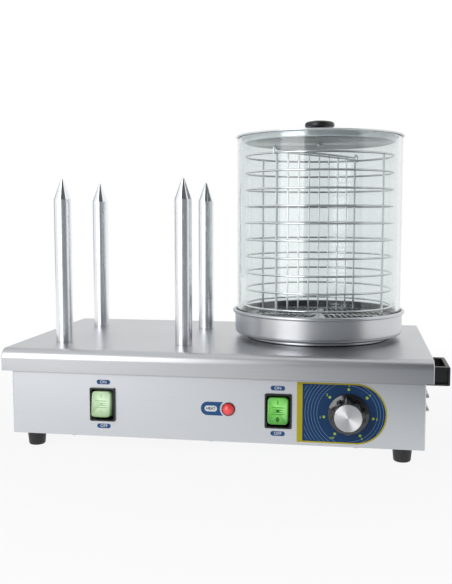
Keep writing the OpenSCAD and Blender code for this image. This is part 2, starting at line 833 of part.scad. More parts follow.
// The knob's own axis, standing out of the panel
module at_dial() {
    translate([dial_x, panel_y - dial_gap, control_z]) rotate([90, 0, 0]) children();
}

module thermostat_bulb() {
    color([0.72, 0.45, 0.3]) translate([axis_x, bulb_y + bulb_len, bulb_z]) rotate([90, 0, 0])
        cylinder(h = bulb_len, r = bulb_d / 2);
}

// From the bulb's end, forwards and down to the top of the thermostat's case
module capillary_tube() {
    start = [axis_x, bulb_y, bulb_z];
    drop_y = thermostat_y + thermostat_depth / 2;
    case_top = control_z + thermostat_w / 2;
    color([0.75, 0.5, 0.35]) routed_tube([start, [axis_x, drop_y, bulb_z],
        [dial_x, drop_y, bulb_z - 8], [dial_x, drop_y, case_top]], capillary_d / 2);
}

module thermostat_case() {
    color([0.2, 0.2, 0.22]) difference() {
        along_y(thermostat_y, thermostat_depth)
            translate([dial_x, control_z]) soft_rect(thermostat_w, thermostat_w, 4);
        bar_y(dial_x, thermostat_y - eps, control_z, thermostat_depth * 0.7, spindle_d / 2 + run_gap);
        at_thermostat_screws()
            cylinder(h = sheet_t + thermostat_screw_len + screw_room, r = screw_r + thread_gap);
    }
}

module thermostat_screws() {
    head_h = 1.6;
    color([0.65, 0.65, 0.65]) at_thermostat_screws()
        pan_screw(screw_d, sheet_t + thermostat_screw_len, screw_head_r, head_h);
}

// Depth of the spindle's hole in the knob
spindle_hold = dial_h - 6;

module thermostat_spindle() {
    y0 = panel_y - dial_gap - spindle_hold;
    y1 = thermostat_y + thermostat_depth * 0.7 - eps - 0.5;
    color([0.7, 0.7, 0.72]) bar_y(dial_x, y0, control_z, y1 - y0, spindle_d / 2);
}

module dial_knob() {
    skirt_h0 = 4.5;
    cup_r = dial_d / 2 - 2.5;
    cup_h = 3;
    flute_r = 4;
    cap_seat = 1.5;
    color([0.06, 0.06, 0.07]) at_dial() difference() {
        union() {
            rotate_extrude() polygon([[0, 0], [dial_d / 2, 0], [dial_d / 2, 2.2],
                [dial_d / 2 - 2.6, skirt_h0], [0, skirt_h0]]);
            difference() {
                cylinder(h = dial_h, r1 = dial_grip_d / 2 + 0.8, r2 = dial_grip_d / 2);
                for (i = [0 : dial_flutes - 1]) rotate([0, 0, i * 360 / dial_flutes])
                    translate([dial_grip_d / 2 + flute_r - 1.5, 0, skirt_h0])
                        cylinder(h = dial_h, r = flute_r, $fn = 32);
            }
        }
        translate([0, 0, -eps]) cylinder(h = cup_h + eps, r = cup_r);
        translate([0, 0, -eps]) cylinder(h = spindle_hold + 2 * eps, r = spindle_d / 2 + thread_gap);
        translate([0, 0, dial_h - cap_seat]) cylinder(h = cap_seat + eps, r = dial_cap_d / 2 + thread_gap);
    }
}

module dial_cap() {
    cap_seat = 1.5;
    edge = 0.5;
    cap_r = dial_cap_d / 2;
    cap_h = cap_seat + dial_cap_proud;
    color([0.8, 0.81, 0.82]) at_dial() translate([0, 0, dial_h - cap_seat]) rotate_extrude()
        polygon([[0, 0], [cap_r, 0], [cap_r, cap_h - edge], [cap_r - edge, cap_h], [0, cap_h]]);
}

// Printed film with a round right end, open round the switch and under the knob
module dial_film() {
    end_r = film_h / 2;
    color([0.14, 0.27, 0.45]) along_y(panel_y - film_t, film_t) difference() {
        union() {
            translate([film_x - film_w / 2, control_z - end_r]) square([film_w - end_r, film_h]);
            translate([film_x + film_w / 2 - end_r, control_z]) circle(end_r);
        }
        translate([right_switch_x, control_z])
            square([bezel_w + 2 * hole_gap, bezel_h + 2 * hole_gap], center = true);
        translate([dial_x, control_z]) circle(thermostat_screw_pitch / 2 + screw_head_r + hole_gap);
    }
}

// Handles

module side_handle() {
    x0 = half_w;
    x1 = half_w + handle_reach;
    y0 = handle_mid_y - handle_len / 2;
    y1 = handle_mid_y + handle_len / 2;
    edge_r = 1.5;
    rim = 2.6;
    core_x = x0 + handle_screw_len + 4;
    color([0.08, 0.08, 0.09]) difference() {
        translate([0, 0, handle_z]) linear_extrude(handle_h) difference() {
            union() {
                translate([x0, y0]) square([handle_reach - edge_r, handle_len]);
                translate([x0, y0 + edge_r]) square([handle_reach, handle_len - 2 * edge_r]);
                for (y = [y0 + edge_r, y1 - edge_r]) translate([x1 - edge_r, y]) circle(edge_r);
            }
            translate([x0 + handle_foot_t, y0 + handle_leg_t])
                square([handle_reach - handle_foot_t - handle_bar_t, handle_len - 2 * handle_leg_t]);
        }
        for (y = [y0 - eps, y1 - handle_pocket])
            box([core_x, y, handle_z + rim], [x1 - rim, y + handle_pocket + eps, handle_z + handle_h - rim]);
        at_handle_screws() translate([0, 0, -eps])
            cylinder(h = handle_screw_len + screw_room, r = screw_r + thread_gap);
    }
}

module right_handle() {
    side_handle();
}

module left_handle() {
    mirror([1, 0, 0]) side_handle();
}

module handle_screws() {
    color([0.65, 0.65, 0.65]) for (side = [0, 1]) mirror([side, 0, 0]) at_handle_screws()
        translate([0, 0, -sheet_t]) pan_screw(screw_d, handle_screw_len, screw_head_r, screw_head_h);
}

// Switches and lamp

module switch_case(x) {
    color([0.07, 0.07, 0.08]) difference() {
        union() {
            along_y(panel_y - bezel_t, bezel_t) translate([x, control_z]) soft_rect(bezel_w, bezel_h, 1);
            along_y(panel_y - eps, case_depth + eps)
                translate([x, control_z]) square([case_w, case_h], center = true);
        }
        along_y(panel_y - bezel_t - eps, bezel_t + well_depth + eps)
            translate([x, control_z]) soft_rect(well_w, well_h, 2);
        translate([x - case_w, pivot_y, control_z]) rotate([0, 90, 0])
            cylinder(h = 2 * case_w, r = pivot_d / 2 + run_gap);
    }
}

module left_switch_case() {
    switch_case(left_switch_x);
}

module right_switch_case() {
    switch_case(right_switch_x);
}

// Four tabs behind each switch
module switch_terminals() {
    y0 = panel_y + case_depth;
    color([0.8, 0.66, 0.35]) for (x = [left_switch_x, right_switch_x], sx = [-1, 1], sz = [-1, 1])
        box([x + sx * case_w / 4 - tab_w / 2, y0, control_z + sz * case_h / 4 - tab_t / 2],
            [x + sx * case_w / 4 + tab_w / 2, y0 + tab_len, control_z + sz * case_h / 4 + tab_t / 2]);
}

// Side outline of the rocker about its pivot: dished front, body narrowing to the pivot
module rocker_outline() {
    front = -rocker_proud - pivot_depth;
    half_h = rocker_h / 2;
    polygon([[front + rocker_dish, 0], [front, half_h * 0.8], [front + 0.7, half_h * 0.97],
        [front + 1.8, half_h], [0, half_h], [3, half_h * 0.45], [5, 0], [3, -half_h * 0.45], [0, -half_h],
        [front + 1.8, -half_h], [front + 0.7, -half_h * 0.97], [front, -half_h * 0.8]]);
}

module rocker(x) {
    corner_r = 4;
    pin_len = case_w - 0.4;
    rib_y = -rocker_proud - pivot_depth + rocker_dish;
    color([0.45, 0.85, 0.45]) translate([x, pivot_y, control_z]) rotate([-rocker_tilt, 0, 0]) {
        intersection() {
            along_x(-rocker_w / 2, rocker_w) rocker_outline();
            along_y(-rocker_h, 2 * rocker_h) soft_rect(rocker_w, rocker_h, corner_r);
        }
        translate([-pin_len / 2, 0, 0]) rotate([0, 90, 0]) cylinder(h = pin_len, r = pivot_d / 2);
        for (i = [0 : rib_count - 1]) {
            z = (i - (rib_count - 1) / 2) * rib_pitch;
            translate([-rocker_w / 2 + 2, rib_y + 0.2, z]) rotate([0, 90, 0])
                cylinder(h = rocker_w - 4, r = 0.5, $fn = 24);
        }
    }
}

module left_rocker() {
    rocker(left_switch_x);
}

module right_rocker() {
    rocker(right_switch_x);
}

// Height of the lamp's flange in front of the panel
lamp_flange_t = 1.8;
lens_seat = 1;
lens_r = lamp_d / 2 - 1.2;

module lamp_holder() {
    barrel_len = 20;
    pin_r = 1.2;
    color([0.25, 0.25, 0.27]) {
        translate([lamp_x, panel_y, control_z]) rotate([90, 0, 0]) difference() {
            union() {
                cylinder(h = lamp_flange_t, r = lamp_d / 2);
                translate([0, 0, -barrel_len]) cylinder(h = barrel_len + eps, r = lamp_barrel_d / 2);
            }
            translate([0, 0, lamp_flange_t - lens_seat])
                cylinder(h = lens_seat + eps, r = lens_r + thread_gap);
        }
        for (sx = [-1, 1])
            bar_y(lamp_x + sx * lamp_barrel_d / 4, panel_y + barrel_len - eps, control_z, 7, pin_r);
    }
}

// A low dome on a short drum
module lamp_lens() {
    dome_r = (pow(lens_r, 2) + pow(lens_h, 2)) / (2 * lens_h);
    color([0.85, 0.12, 0.12]) translate([lamp_x, panel_y - lamp_flange_t + lens_seat, control_z])
        rotate([90, 0, 0]) rotate_extrude() intersection() {
            union() {
                square([lens_r, lens_seat]);
                translate([0, lens_seat + lens_h - dome_r]) circle(dome_r);
            }
            square([lens_r, lens_seat + lens_h]);
        }
}

module lamp_nut() {
    lamp_nut_h = 4;
    color([0.3, 0.3, 0.32]) translate([lamp_x, panel_y + sheet_t, control_z]) rotate([-90, 0, 0])
        hex_nut(lamp_barrel_d * 1.5, lamp_nut_h, lamp_barrel_d / 2 + thread_gap);
}

// Rear inlet and inner connections

module at_gland() {
    translate([gland_x, rear_y, housing_z + gland_up]) rotate([-90, 0, 0]) children();
}

module cable_gland() {
    flange_h = 4;
    color([0.1, 0.1, 0.1]) at_gland() difference() {
        union() {
            cylinder(h = flange_h, r = gland_d / 2 + 4, $fn = 6);
            cylinder(h = gland_reach, r1 = gland_d / 2 + 1.5, r2 = gland_d / 2 - 1);
            translate([0, 0, -sheet_t - 8]) cylinder(h = sheet_t + 8 + eps, r = gland_d / 2);
        }
        translate([0, 0, -sheet_t - 8 - eps])
            cylinder(h = gland_reach + sheet_t + 8 + 2 * eps, r = gland_bore_d / 2);
    }
}

module gland_nut() {
    gland_nut_h = 5;
    color([0.1, 0.1, 0.1]) at_gland() translate([0, 0, -sheet_t - gland_nut_h])
        hex_nut(gland_d * 1.45, gland_nut_h, gland_d / 2 + thread_gap);
}

block_x = gland_x - block_left;
block_y = rear_y - block_in;
block_z = housing_z + sheet_t;

module terminal_block() {
    poles = 3;
    pole_pitch = block_w / poles;
    color([0.88, 0.87, 0.82]) difference() {
        box([block_x - block_w / 2, block_y - block_d / 2, block_z],
            [block_x + block_w / 2, block_y + block_d / 2, block_z + block_h]);
        for (i = [0 : poles - 1], sy = [-1, 1])
            translate([block_x + (i - 1) * pole_pitch, block_y + sy * block_d / 4, block_z + block_h / 2])
                cylinder(h = block_h, r = 2.2);
    }
}

// The supply pair of each switch: the left one runs to its lower tabs, the right one to its upper tabs
module wiring() {
    top_z = block_z + block_h;
    tab_y = panel_y + case_depth + tab_len;
    color([0.75, 0.3, 0.2]) for (bank = [-1, 1], sx = [-1, 1]) {
        pole_x = block_x + bank * block_w / 3 + sx * block_w / 12;
        turn_y = tab_y + 4 * wire_d - sx * wire_d;
        tab_x = (bank < 0 ? left_switch_x : right_switch_x) + sx * case_w / 4;
        tab_z = control_z + bank * case_h / 4;
        routed_tube([[pole_x, block_y, top_z], [pole_x, block_y, tab_z], [pole_x, turn_y, tab_z],
            [tab_x, turn_y, tab_z], [tab_x, tab_y, tab_z]], wire_d / 2);
    }
}

// Basket

module at_divider() {
    at_steamer() rotate([0, 0, -90 - divider_turn]) children();
}

// A disc with a turned-down skirt that stands on the pan's ledge, cut with rings of arc slots
module basket_floor() {
    skirt_low = ledge_z + lift_gap;
    first_r = 22;
    row_pitch = (floor_r - first_r - 2 * slot_w) / (floor_slot_rows - 1);
    slot_share = 0.68;
    color([0.8, 0.81, 0.82]) at_steamer() difference() {
        rotate_extrude($fn = 128) polygon([[0, floor_z - floor_t], [floor_r - floor_t, floor_z - floor_t],
            [floor_r - floor_t, skirt_low], [floor_r, skirt_low], [floor_r, floor_z], [0, floor_z]]);
        for (row = [0 : floor_slot_rows - 1], i = [0 : floor_slots - 1])
            rotate([0, 0, (i + row / 2) * 360 / floor_slots]) translate([0, 0, floor_z - 2 * floor_t])
                rotate_extrude(angle = 360 / floor_slots * slot_share)
                    translate([first_r + row * row_pitch, 0]) square([slot_w, 3 * floor_t]);
    }
}

module basket_posts() {
    color([0.82, 0.83, 0.84]) at_divider() for (i = [0 : 3]) rotate([0, 0, i * 90])
        translate([post_r, 0, post_z0]) cylinder(h = post_z1 - post_z0, r = post_wire_d / 2, $fn = 32);
}

module basket_rings() {
    color([0.82, 0.83, 0.84]) at_steamer() for (i = [0 : ring_count - 1])
        translate([0, 0, low_ring_z + i * ring_pitch]) rotate_extrude($fn = 96)
            translate([ring_r, 0]) circle(ring_wire_d / 2, $fn = 24);
}

// Upright wires across the basket and the rail that ties them below their tops
module basket_divider() {
    wire_r = divider_wire_d / 2;
    upright_z1 = rail_z - wire_r - weld_gap;
    low_rail_len = 2 * (post_r - post_wire_d);
    color([0.82, 0.83, 0.84]) at_divider() {
        for (i = [1 : divider_wires])
            translate([-post_r + i * upright_pitch, 0, post_z0])
                cylinder(h = upright_z1 - post_z0, r = wire_r, $fn = 24);
        translate([-low_rail_len / 2, divider_wire_d + weld_gap, low_rail_z]) rotate([0, 90, 0])
            cylinder(h = low_rail_len, r = wire_r, $fn = 24);
    }
}

// The lifting rail over the divider, bent over the top ring at both ends
module basket_hooks() {
    wire_r = divider_wire_d / 2;
    inner_r = ring_r - hook_r;
    color([0.82, 0.83, 0.84]) at_divider() {
        translate([-inner_r, 0, rail_z]) rotate([0, 90, 0]) cylinder(h = 2 * inner_r, r = wire_r, $fn = 24);
        for (side = [0, 1]) rotate([0, 0, side * 180]) {
            translate([ring_r, 0, rail_z]) rotate([90, 0, 0]) rotate_extrude(angle = 180, $fn = 48)
                translate([hook_r, 0]) circle(wire_r, $fn = 24);
            translate([ring_r + hook_r, 0, rail_z - hook_drop])
                cylinder(h = hook_drop, r = wire_r, $fn = 24);
        }
    }
}

// Glass and lid

module glass_cylinder() {
    color([0.85, 0.93, 0.9, 0.35]) at_steamer() rotate_extrude($fn = 128) polygon([
        [glass_in_r, glass_z], [glass_r - glass_chamfer, glass_z], [glass_r, glass_z + glass_chamfer],
        [glass_r, glass_top_z], [glass_in_r, glass_top_z]]);
}

// A flat rim on the glass and a round plug inside it
module lid_pan() {
    hem_r = 1;
    color([0.78, 0.79, 0.8]) at_steamer() rotate_extrude($fn = 128) {
        polygon([[lid_hole_r, dish_z - lid_t], [plug_r, dish_z - lid_t], [plug_r, lid_z],
            [lid_rim_r - hem_r, lid_z], [lid_rim_r - hem_r, lid_z + lid_t], [plug_r - lid_t, lid_z + lid_t],
            [plug_r - lid_t, dish_z], [lid_hole_r, dish_z]]);
        translate([lid_rim_r - hem_r, lid_z + hem_r]) circle(hem_r, $fn = 24);
    }
}

// A mushroom knob: base, neck, spreading underside, rounded brim and low crown
module lid_knob() {
    brim_r = 3.2;
    base_r = lid_knob_d * 0.3;
    neck_r = lid_knob_d * 0.22;
    under_r = lid_knob_d * 0.39;
    brim_z = lid_knob_h - 4.2;
    crown_r = lid_knob_d * 1.7;
    color([0.05, 0.05, 0.06]) at_steamer() translate([0, 0, dish_z]) difference() {
        rotate_extrude() intersection() {
            union() {
                polygon([[0, 0], [base_r, 0], [base_r, 2], [neck_r, 5], [neck_r, 10],
                    [under_r, brim_z - brim_r], [lid_knob_d / 2 - brim_r, brim_z - brim_r],
                    [lid_knob_d / 2 - brim_r, lid_knob_h], [0, lid_knob_h]]);
                translate([lid_knob_d / 2 - brim_r, brim_z]) circle(brim_r, $fn = 48);
            }
            translate([0, lid_knob_h - crown_r]) circle(crown_r, $fn = 128);
            square([lid_knob_d, lid_knob_h]);
        }
        translate([0, 0, -eps])
            cylinder(h = lid_screw_len + screw_room + eps, r = lid_screw_d / 2 + thread_gap);
    }
}

module lid_screw() {
    color([0.7, 0.7, 0.7]) at_steamer() translate([0, 0, dish_z - lid_t])
        pan_screw(lid_screw_d, lid_screw_len, lid_screw_d, 2.2);
}

control_panel();
back_panel();
left_side_panel();
right_side_panel();
top_cover();
cover_nuts();
bottom_plate();
plate_screws();
rubber_feet();
foot_screws();
foot_nuts();
spike_front_left();
spike_back_left();
spike_front_right();
spike_back_right();
spike_heaters();
spike_nuts();
water_pan();
pan_bottom();
heating_plate();
heater_clamp();
clamp_nut();
thermostat_bulb();
capillary_tube();
thermostat_case();
thermostat_screws();
thermostat_spindle();
dial_knob();
dial_cap();
dial_film();
left_handle();
right_handle();
handle_screws();
left_switch_case();
right_switch_case();
switch_terminals();
left_rocker();
right_rocker();
lamp_holder();
lamp_lens();
lamp_nut();
cable_gland();
gland_nut();
terminal_block();
wiring();
basket_floor();
basket_posts();
basket_rings();
basket_divider();
basket_hooks();
glass_cylinder();
lid_pan();
lid_knob();
lid_screw();
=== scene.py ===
"""Looks of a hot dog machine: heated bun spikes and a glass sausage steamer on a stainless base."""

import json
import logging
import math
from collections.abc import Callable, Sequence
from dataclasses import dataclass
from enum import Enum

import bmesh
import bpy
from bmesh.types import BMesh, BMVert
from bpy.types import ID, Material, Mesh, Node, NodeSocket, NodeTree, Object
from mathutils import Euler, Matrix, Vector


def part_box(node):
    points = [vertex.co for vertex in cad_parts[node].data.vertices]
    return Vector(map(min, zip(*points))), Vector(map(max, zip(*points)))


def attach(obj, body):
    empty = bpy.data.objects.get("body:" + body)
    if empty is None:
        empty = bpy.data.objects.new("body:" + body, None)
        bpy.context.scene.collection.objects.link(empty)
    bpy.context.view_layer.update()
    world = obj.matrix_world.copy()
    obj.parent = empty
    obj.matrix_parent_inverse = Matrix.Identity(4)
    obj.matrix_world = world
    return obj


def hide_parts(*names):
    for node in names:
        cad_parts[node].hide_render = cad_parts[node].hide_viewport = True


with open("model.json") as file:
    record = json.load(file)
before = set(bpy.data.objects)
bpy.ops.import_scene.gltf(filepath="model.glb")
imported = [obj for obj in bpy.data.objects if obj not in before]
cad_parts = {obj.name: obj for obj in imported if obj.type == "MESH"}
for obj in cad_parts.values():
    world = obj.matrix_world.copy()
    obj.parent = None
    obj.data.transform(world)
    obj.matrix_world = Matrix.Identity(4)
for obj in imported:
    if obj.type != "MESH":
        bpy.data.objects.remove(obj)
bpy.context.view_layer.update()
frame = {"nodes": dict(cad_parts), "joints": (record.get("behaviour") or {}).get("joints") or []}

MM = 0.001
TINY = 1e-6
log = logging.getLogger("hot_dog_machine")

Colour = tuple[float, float, float]
Loop = list[Vector]


def srgb(red: int, green: int, blue: int) -> Colour:
    """A display colour, 0 to 255, as linear light."""
    parts = [value / 255 for value in (red, green, blue)]
    return tuple(p / 12.92 if p <= 0.04045 else ((p + 0.055) / 1.055) ** 2.4 for p in parts)


class Facing(Enum):
    """Which way a flat drawing faces: its across, up and outward axes."""

    FRONT = ((1, 0, 0), (0, 0, 1), (0, -1, 0))
    BACK = ((-1, 0, 0), (0, 0, 1), (0, 1, 0))

    def at(self, origin: Sequence[float]) -> Matrix:
        """The matrix that carries a drawing on the local X-Y plane to origin, facing this way."""
        axes = Matrix([Vector(axis) for axis in self.value]).transposed()
        return Matrix.Translation(Vector(origin)) @ axes.to_4x4()


# Flat outlines

def arc(centre: Sequence[float], radius: float, start: float, end: float, steps: int) -> Loop:
    """Points along an arc between two angles in degrees, both ends included."""
    angles = [math.radians(start + (end - start) * k / steps) for k in range(steps + 1)]
    return [Vector((centre[0] + radius * math.cos(a), centre[1] + radius * math.sin(a))) for a in angles]


def fillet(corners: Sequence[tuple[float, float, float]], steps: int = 6, closed: bool = True) -> Loop:
    """Rounds the corners of an outline.

    Args:
        corners: Across, up and rounding radius of each corner.
        steps: Straight steps in each rounding.
        closed: Whether the outline closes on itself; else its two ends stay as they are.

    Returns:
        The rounded outline.
    """
    out: Loop = []
    count = len(corners)
    for i, (across, up, radius) in enumerate(corners):
        here = Vector((across, up))
        if radius < TINY or (not closed and i in (0, count - 1)):
            out.append(here)
            continue
        back = Vector(corners[i - 1][:2]) - here
        onward = Vector(corners[(i + 1) % count][:2]) - here
        half = back.angle(onward) / 2
        reach = min(radius / math.tan(half), 0.49 * back.length, 0.49 * onward.length)
        used = reach * math.tan(half)
        centre = here + (back.normalized() + onward.normalized()).normalized() * (used / math.sin(half))
        first = here + back.normalized() * reach - centre
        last = here + onward.normalized() * reach - centre
        start = math.atan2(first.y, first.x)
        sweep = (math.atan2(last.y, last.x) - start + math.pi) % math.tau - math.pi
        out += arc(centre, used, math.degrees(start), math.degrees(start + sweep), steps)
    return out


def soft_rect(width: float, height: float, radius: float, inset: float = 0.0, steps: int = 5) -> Loop:
    """A rectangle about the origin with round corners.

    Args:
        width: Its size across, before it is set in.
        height: Its size up, before it is set in.
        radius: The corners' radius, before it is set in.
        inset: How far every side is set in; below none, the sides are set out.
        steps: Straight steps in each corner.

    Returns:
        The outline.
    """
    x, y = width / 2 - inset, height / 2 - inset
    soft = max(radius - inset, TINY * 10)
    return fillet([(x, -y, soft), (x, y, soft), (-x, y, soft), (-x, -y, soft)], steps)


def quarter(radius: float, steps: int = 5) -> list[tuple[float, float]]:
    """Inset and rise of each point of a quarter round, from the wall that it leaves to the face."""
    turns = [math.radians(90 * k / steps) for k in range(steps + 1)]
    return [(radius * (1 - math.cos(turn)), radius * math.sin(turn)) for turn in turns]


def circle(radius: float, steps: int = 48) -> Loop:
    """A round outline about the origin."""
    return arc((0, 0), radius, 0, 360, steps)[:-1]


def lift(outline: Loop, height: float | Callable[[Vector], float]) -> Loop:
    """Raises a flat outline to one height, or to a height worked out from each point."""
    level = height if callable(height) else lambda _: height
    return [Vector((p.x, p.y, level(p))) for p in outline]


# Meshes

def loft(loops: Sequence[Loop], wrap: bool = True, around: bool = False, caps: bool = True) -> BMesh:
    """Skins a row of loops that have equally many points, or one point where they close to a tip.

    Args:
        loops: The loops in order.
        wrap: Whether each loop closes on itself.
        around: Whether the last loop joins the first, as on a frame.
        caps: Whether the first and the last loop get a face.

    Returns:
        The mesh under construction, its faces turned outwards.
    """
    bm = bmesh.new()
    rows = [[bm.verts.new(point) for point in loop] for loop in loops]
    pairs = list(zip(rows, rows[1:]))
    if around:
        pairs.append((rows[-1], rows[0]))
    for low, high in pairs:
        count = max(len(low), len(high))
        for i in range(count if wrap else count - 1):
            j = (i + 1) % count
            corners = [low[i % len(low)], low[j % len(low)], high[j % len(high)], high[i % len(high)]]
            bm.faces.new(list(dict.fromkeys(corners)))
    if caps and not around:
        for row in (rows[0], rows[-1]):
            if len(row) > 2:
                bm.faces.new(row)
    bmesh.ops.recalc_face_normals(bm, faces=bm.faces)
    return bm


def lathe(profile: Loop, closed: bool = False, steps: int = 96) -> BMesh:
    """Turns a radius-height profile, closed if it stays off the axis, about the local Z axis."""
    loops = [[Vector((0, 0, p.y))] if p.x < TINY else lift(circle(p.x, steps), p.y) for p in profile]
    return loft(loops, around=closed, caps=False)


def bar(outline: Loop, low: float, high: float) -> BMesh:
    """A straight bar of one outline between two heights."""
    return loft([lift(outline, low), lift(outline, high)])


def block(width: float, height: float, corner: float, depth: float, edge: float) -> BMesh:
    """A plate with round corners and a softened front edge.

    Args:
        width: Its size across.
        height: Its size up.
        corner: The corners' radius.
        depth: How far it stands out from height 0.
        edge: Radius of the front edge.

    Returns:
        The mesh under construction.
    """
    loops = [lift(soft_rect(width, height, corner), 0)]
    for inset, rise in quarter(edge, 4):
        loops.append(lift(soft_rect(width, height, corner, inset), depth - edge + rise))
    return loft(loops)


def prism(outline: Loop, depth: float, holes: Sequence[Loop] = ()) -> BMesh:
    """A flat sheet from height 0 up.

    Args:
        outline: The sheet's outline.
        depth: Its thickness.
        holes: Outlines of its holes.

    Returns:
        The mesh under construction.
    """
    bm = bmesh.new()
    edges = []
    for loop in (outline, *holes):
        verts = [bm.verts.new((p.x, p.y, 0)) for p in loop]
        edges += [bm.edges.new((verts[i - 1], verts[i])) for i in range(len(verts))]
    bmesh.ops.triangle_fill(bm, use_beauty=True, edges=edges, normal=(0, 0, 1))
    grown = bmesh.ops.extrude_face_region(bm, geom=list(bm.faces))
    tops = [item for item in grown["geom"] if isinstance(item, BMVert)]
    bmesh.ops.translate(bm, vec=(0, 0, depth), verts=tops)
    bmesh.ops.recalc_face_normals(bm, faces=bm.faces)
    return bm


def joined(parts: Sequence[BMesh]) -> BMesh:
    """Several meshes under construction as one.

    Args:
        parts: The meshes, which are freed.

    Returns:
        The whole.
    """
    whole = bmesh.new()
    for part in parts:
        mesh = bpy.data.meshes.new("part")
        part.to_mesh(mesh)
        part.free()
        whole.from_mesh(mesh)
        bpy.data.meshes.remove(mesh)
    return whole


def smooth(mesh: Mesh, crease: float) -> None:
    """Shades a mesh smooth, with edges sharper than the crease angle in degrees left hard."""
    mesh.polygons.foreach_set("use_smooth", [True] * len(mesh.polygons))
    mesh.set_sharp_from_angle(angle=math.radians(crease))


def evaluated(obj: Object) -> Mesh:
    """The mesh that an object's modifiers make of it, as a plain mesh."""
    graph = bpy.context.evaluated_depsgraph_get()
    return bpy.data.meshes.new_from_object(
        obj.evaluated_get(graph), preserve_all_data_layers=True, depsgraph=graph)


def settle(obj: Object) -> None:
    """Turns an object's modifiers into its own mesh.

    Args:
        obj: The object.
    """
    mesh = evaluated(obj)
    obj.modifiers.clear()
    obj.data = mesh


def put(name: str, data: ID) -> Object:
    """Puts an object into the scene.

    Args:
        name: The object's name.
        data: Its mesh, curve, camera or light.

    Returns:
        The new object.
    """
    obj = bpy.data.objects.new(name, data)
    bpy.context.scene.collection.objects.link(obj)
    return obj


def taken(obj: Object) -> Mesh:
    """The mesh of a helper object, which leaves the scene.

    Args:
        obj: The helper, a mesh or a curve.

    Returns:
        Its mesh, with its modifiers or its bevel in it.
    """
    mesh = evaluated(obj)
    bpy.data.objects.remove(obj)
    return mesh


def as_mesh(name: str, bm: BMesh, place: Matrix | None = None, crease: float = 35) -> Mesh:
    """Ends a mesh under construction.

    Args:
        name: The mesh's name.
        bm: The mesh under construction, which is freed.
        place: Where it goes, if it was drawn about the origin.
        crease: Edges sharper than this, in degrees, stay hard.

    Returns:
        The finished mesh.
    """
    if place is not None:
        bmesh.ops.transform(bm, matrix=place, verts=bm.verts)
    mesh = bpy.data.meshes.new(name)
    bm.to_mesh(mesh)
    bm.free()
    smooth(mesh, crease)
    return mesh


def even_shading(obj: Object) -> None:
    """Keeps a piece's large flat faces flat beside their rounded edges."""
    obj.modifiers.new("even", "WEIGHTED_NORMAL").keep_sharp = True
    settle(obj)


def thicken(obj: Object, thickness: float) -> None:
    """Gives a sheet its wall, on its inner side.

    Args:
        obj: The sheet.
        thickness: The wall's thickness.
    """
    modifier = obj.modifiers.new("wall", "SOLIDIFY")
    modifier.thickness = thickness
    modifier.offset = -1
    modifier.use_even_offset = True
    settle(obj)


def cut(obj: Object, cutters: Sequence[Mesh], crease: float) -> None:
    """Cuts shapes out of an object and shades it anew.

    Args:
        obj: The object.
        cutters: The shapes, one by one.
        crease: Edges sharper than this, in degrees, stay hard.
    """
    for mesh in cutters:
        tool = put("cutter", mesh)
        modifier = obj.modifiers.new("cut", "BOOLEAN")
        modifier.operation = "DIFFERENCE"
        modifier.solver = "EXACT"
        modifier.object = tool
        settle(obj)
        bpy.data.objects.remove(tool)
    smooth(obj.data, crease)
    even_shading(obj)


def letters(words: str, size: float, depth: float, weight: float = 0.0) -> BMesh:
    """Words as a thin mesh about the origin on the local X-Y plane.

    Args:
        words: The text.
        size: The type size.
        depth: How far the letters stand out.
        weight: How much the strokes are fattened.

    Returns:
        The mesh under construction.
    """
    curve = bpy.data.curves.new("letters", "FONT")
    curve.body = words
    curve.size = size
    curve.align_x = "CENTER"
    curve.align_y = "CENTER"
    curve.offset = weight
    curve.extrude = depth / 2
    bm = bmesh.new()
    bm.from_mesh(taken(put("letters", curve)))
    bmesh.ops.translate(bm, vec=(0, 0, depth / 2), verts=bm.verts)
    return bm


def wire(points: Sequence[Vector], radius: float) -> Mesh:
    """A round wire along a row of points.

    Args:
        points: The wire's middle line.
        radius: The wire's radius.

    Returns:
        The finished mesh.
    """
    curve = bpy.data.curves.new("wire", "CURVE")
    curve.dimensions = "3D"
    curve.bevel_depth = radius
    curve.bevel_resolution = 3
    curve.use_fill_caps = True
    spline = curve.splines.new("POLY")
    spline.points.add(len(points) - 1)
    for slot, point in zip(spline.points, points):
        slot.co = (*point, 1)
    mesh = taken(put("wire", curve))
    smooth(mesh, 50)
    return mesh


# Node trees

class Wiring:
    """A node tree under construction."""

    def __init__(self, tree: NodeTree) -> None:
        """Takes up a tree."""
        self.tree = tree

    def add(self, kind: str, feeds: dict | None = None, **settings: object) -> Node:
        """Adds a node.

        Args:
            kind: The node's type.
            feeds: For each input, by name or number, the socket that feeds it or its fixed value.
            settings: The node's own options.

        Returns:
            The new node.
        """
        node = self.tree.nodes.new(kind)
        for key, value in settings.items():
            setattr(node, key, value)
        for key, value in (feeds or {}).items():
            if isinstance(value, NodeSocket):
                self.tree.links.new(value, node.inputs[key])
            else:
                node.inputs[key].default_value = value
        return node

    def math(self, operation: str, first: object, second: object = 0.0) -> NodeSocket:
        """The result of a calculation with values or sockets."""
        return self.add("ShaderNodeMath", {0: first, 1: second}, operation=operation).outputs[0]

    def vector(self, x: object = 0.0, y: object = 0.0, z: object = 0.0) -> NodeSocket:
        """A vector from three values or sockets."""
        return self.add("ShaderNodeCombineXYZ", {"X": x, "Y": y, "Z": z}).outputs["Vector"]

    def part(self, vector: NodeSocket, axis: str) -> NodeSocket:
        """A vector's part along one axis."""
        return self.add("ShaderNodeSeparateXYZ", {"Vector": vector}).outputs[axis]

    def measure(self, operation: str, first: object, second: object = (0, 0, 0)) -> NodeSocket:
        """A number measured on one vector or on two."""
        node = self.add("ShaderNodeVectorMath", {0: first, 1: second}, operation=operation)
        return node.outputs["Value"]


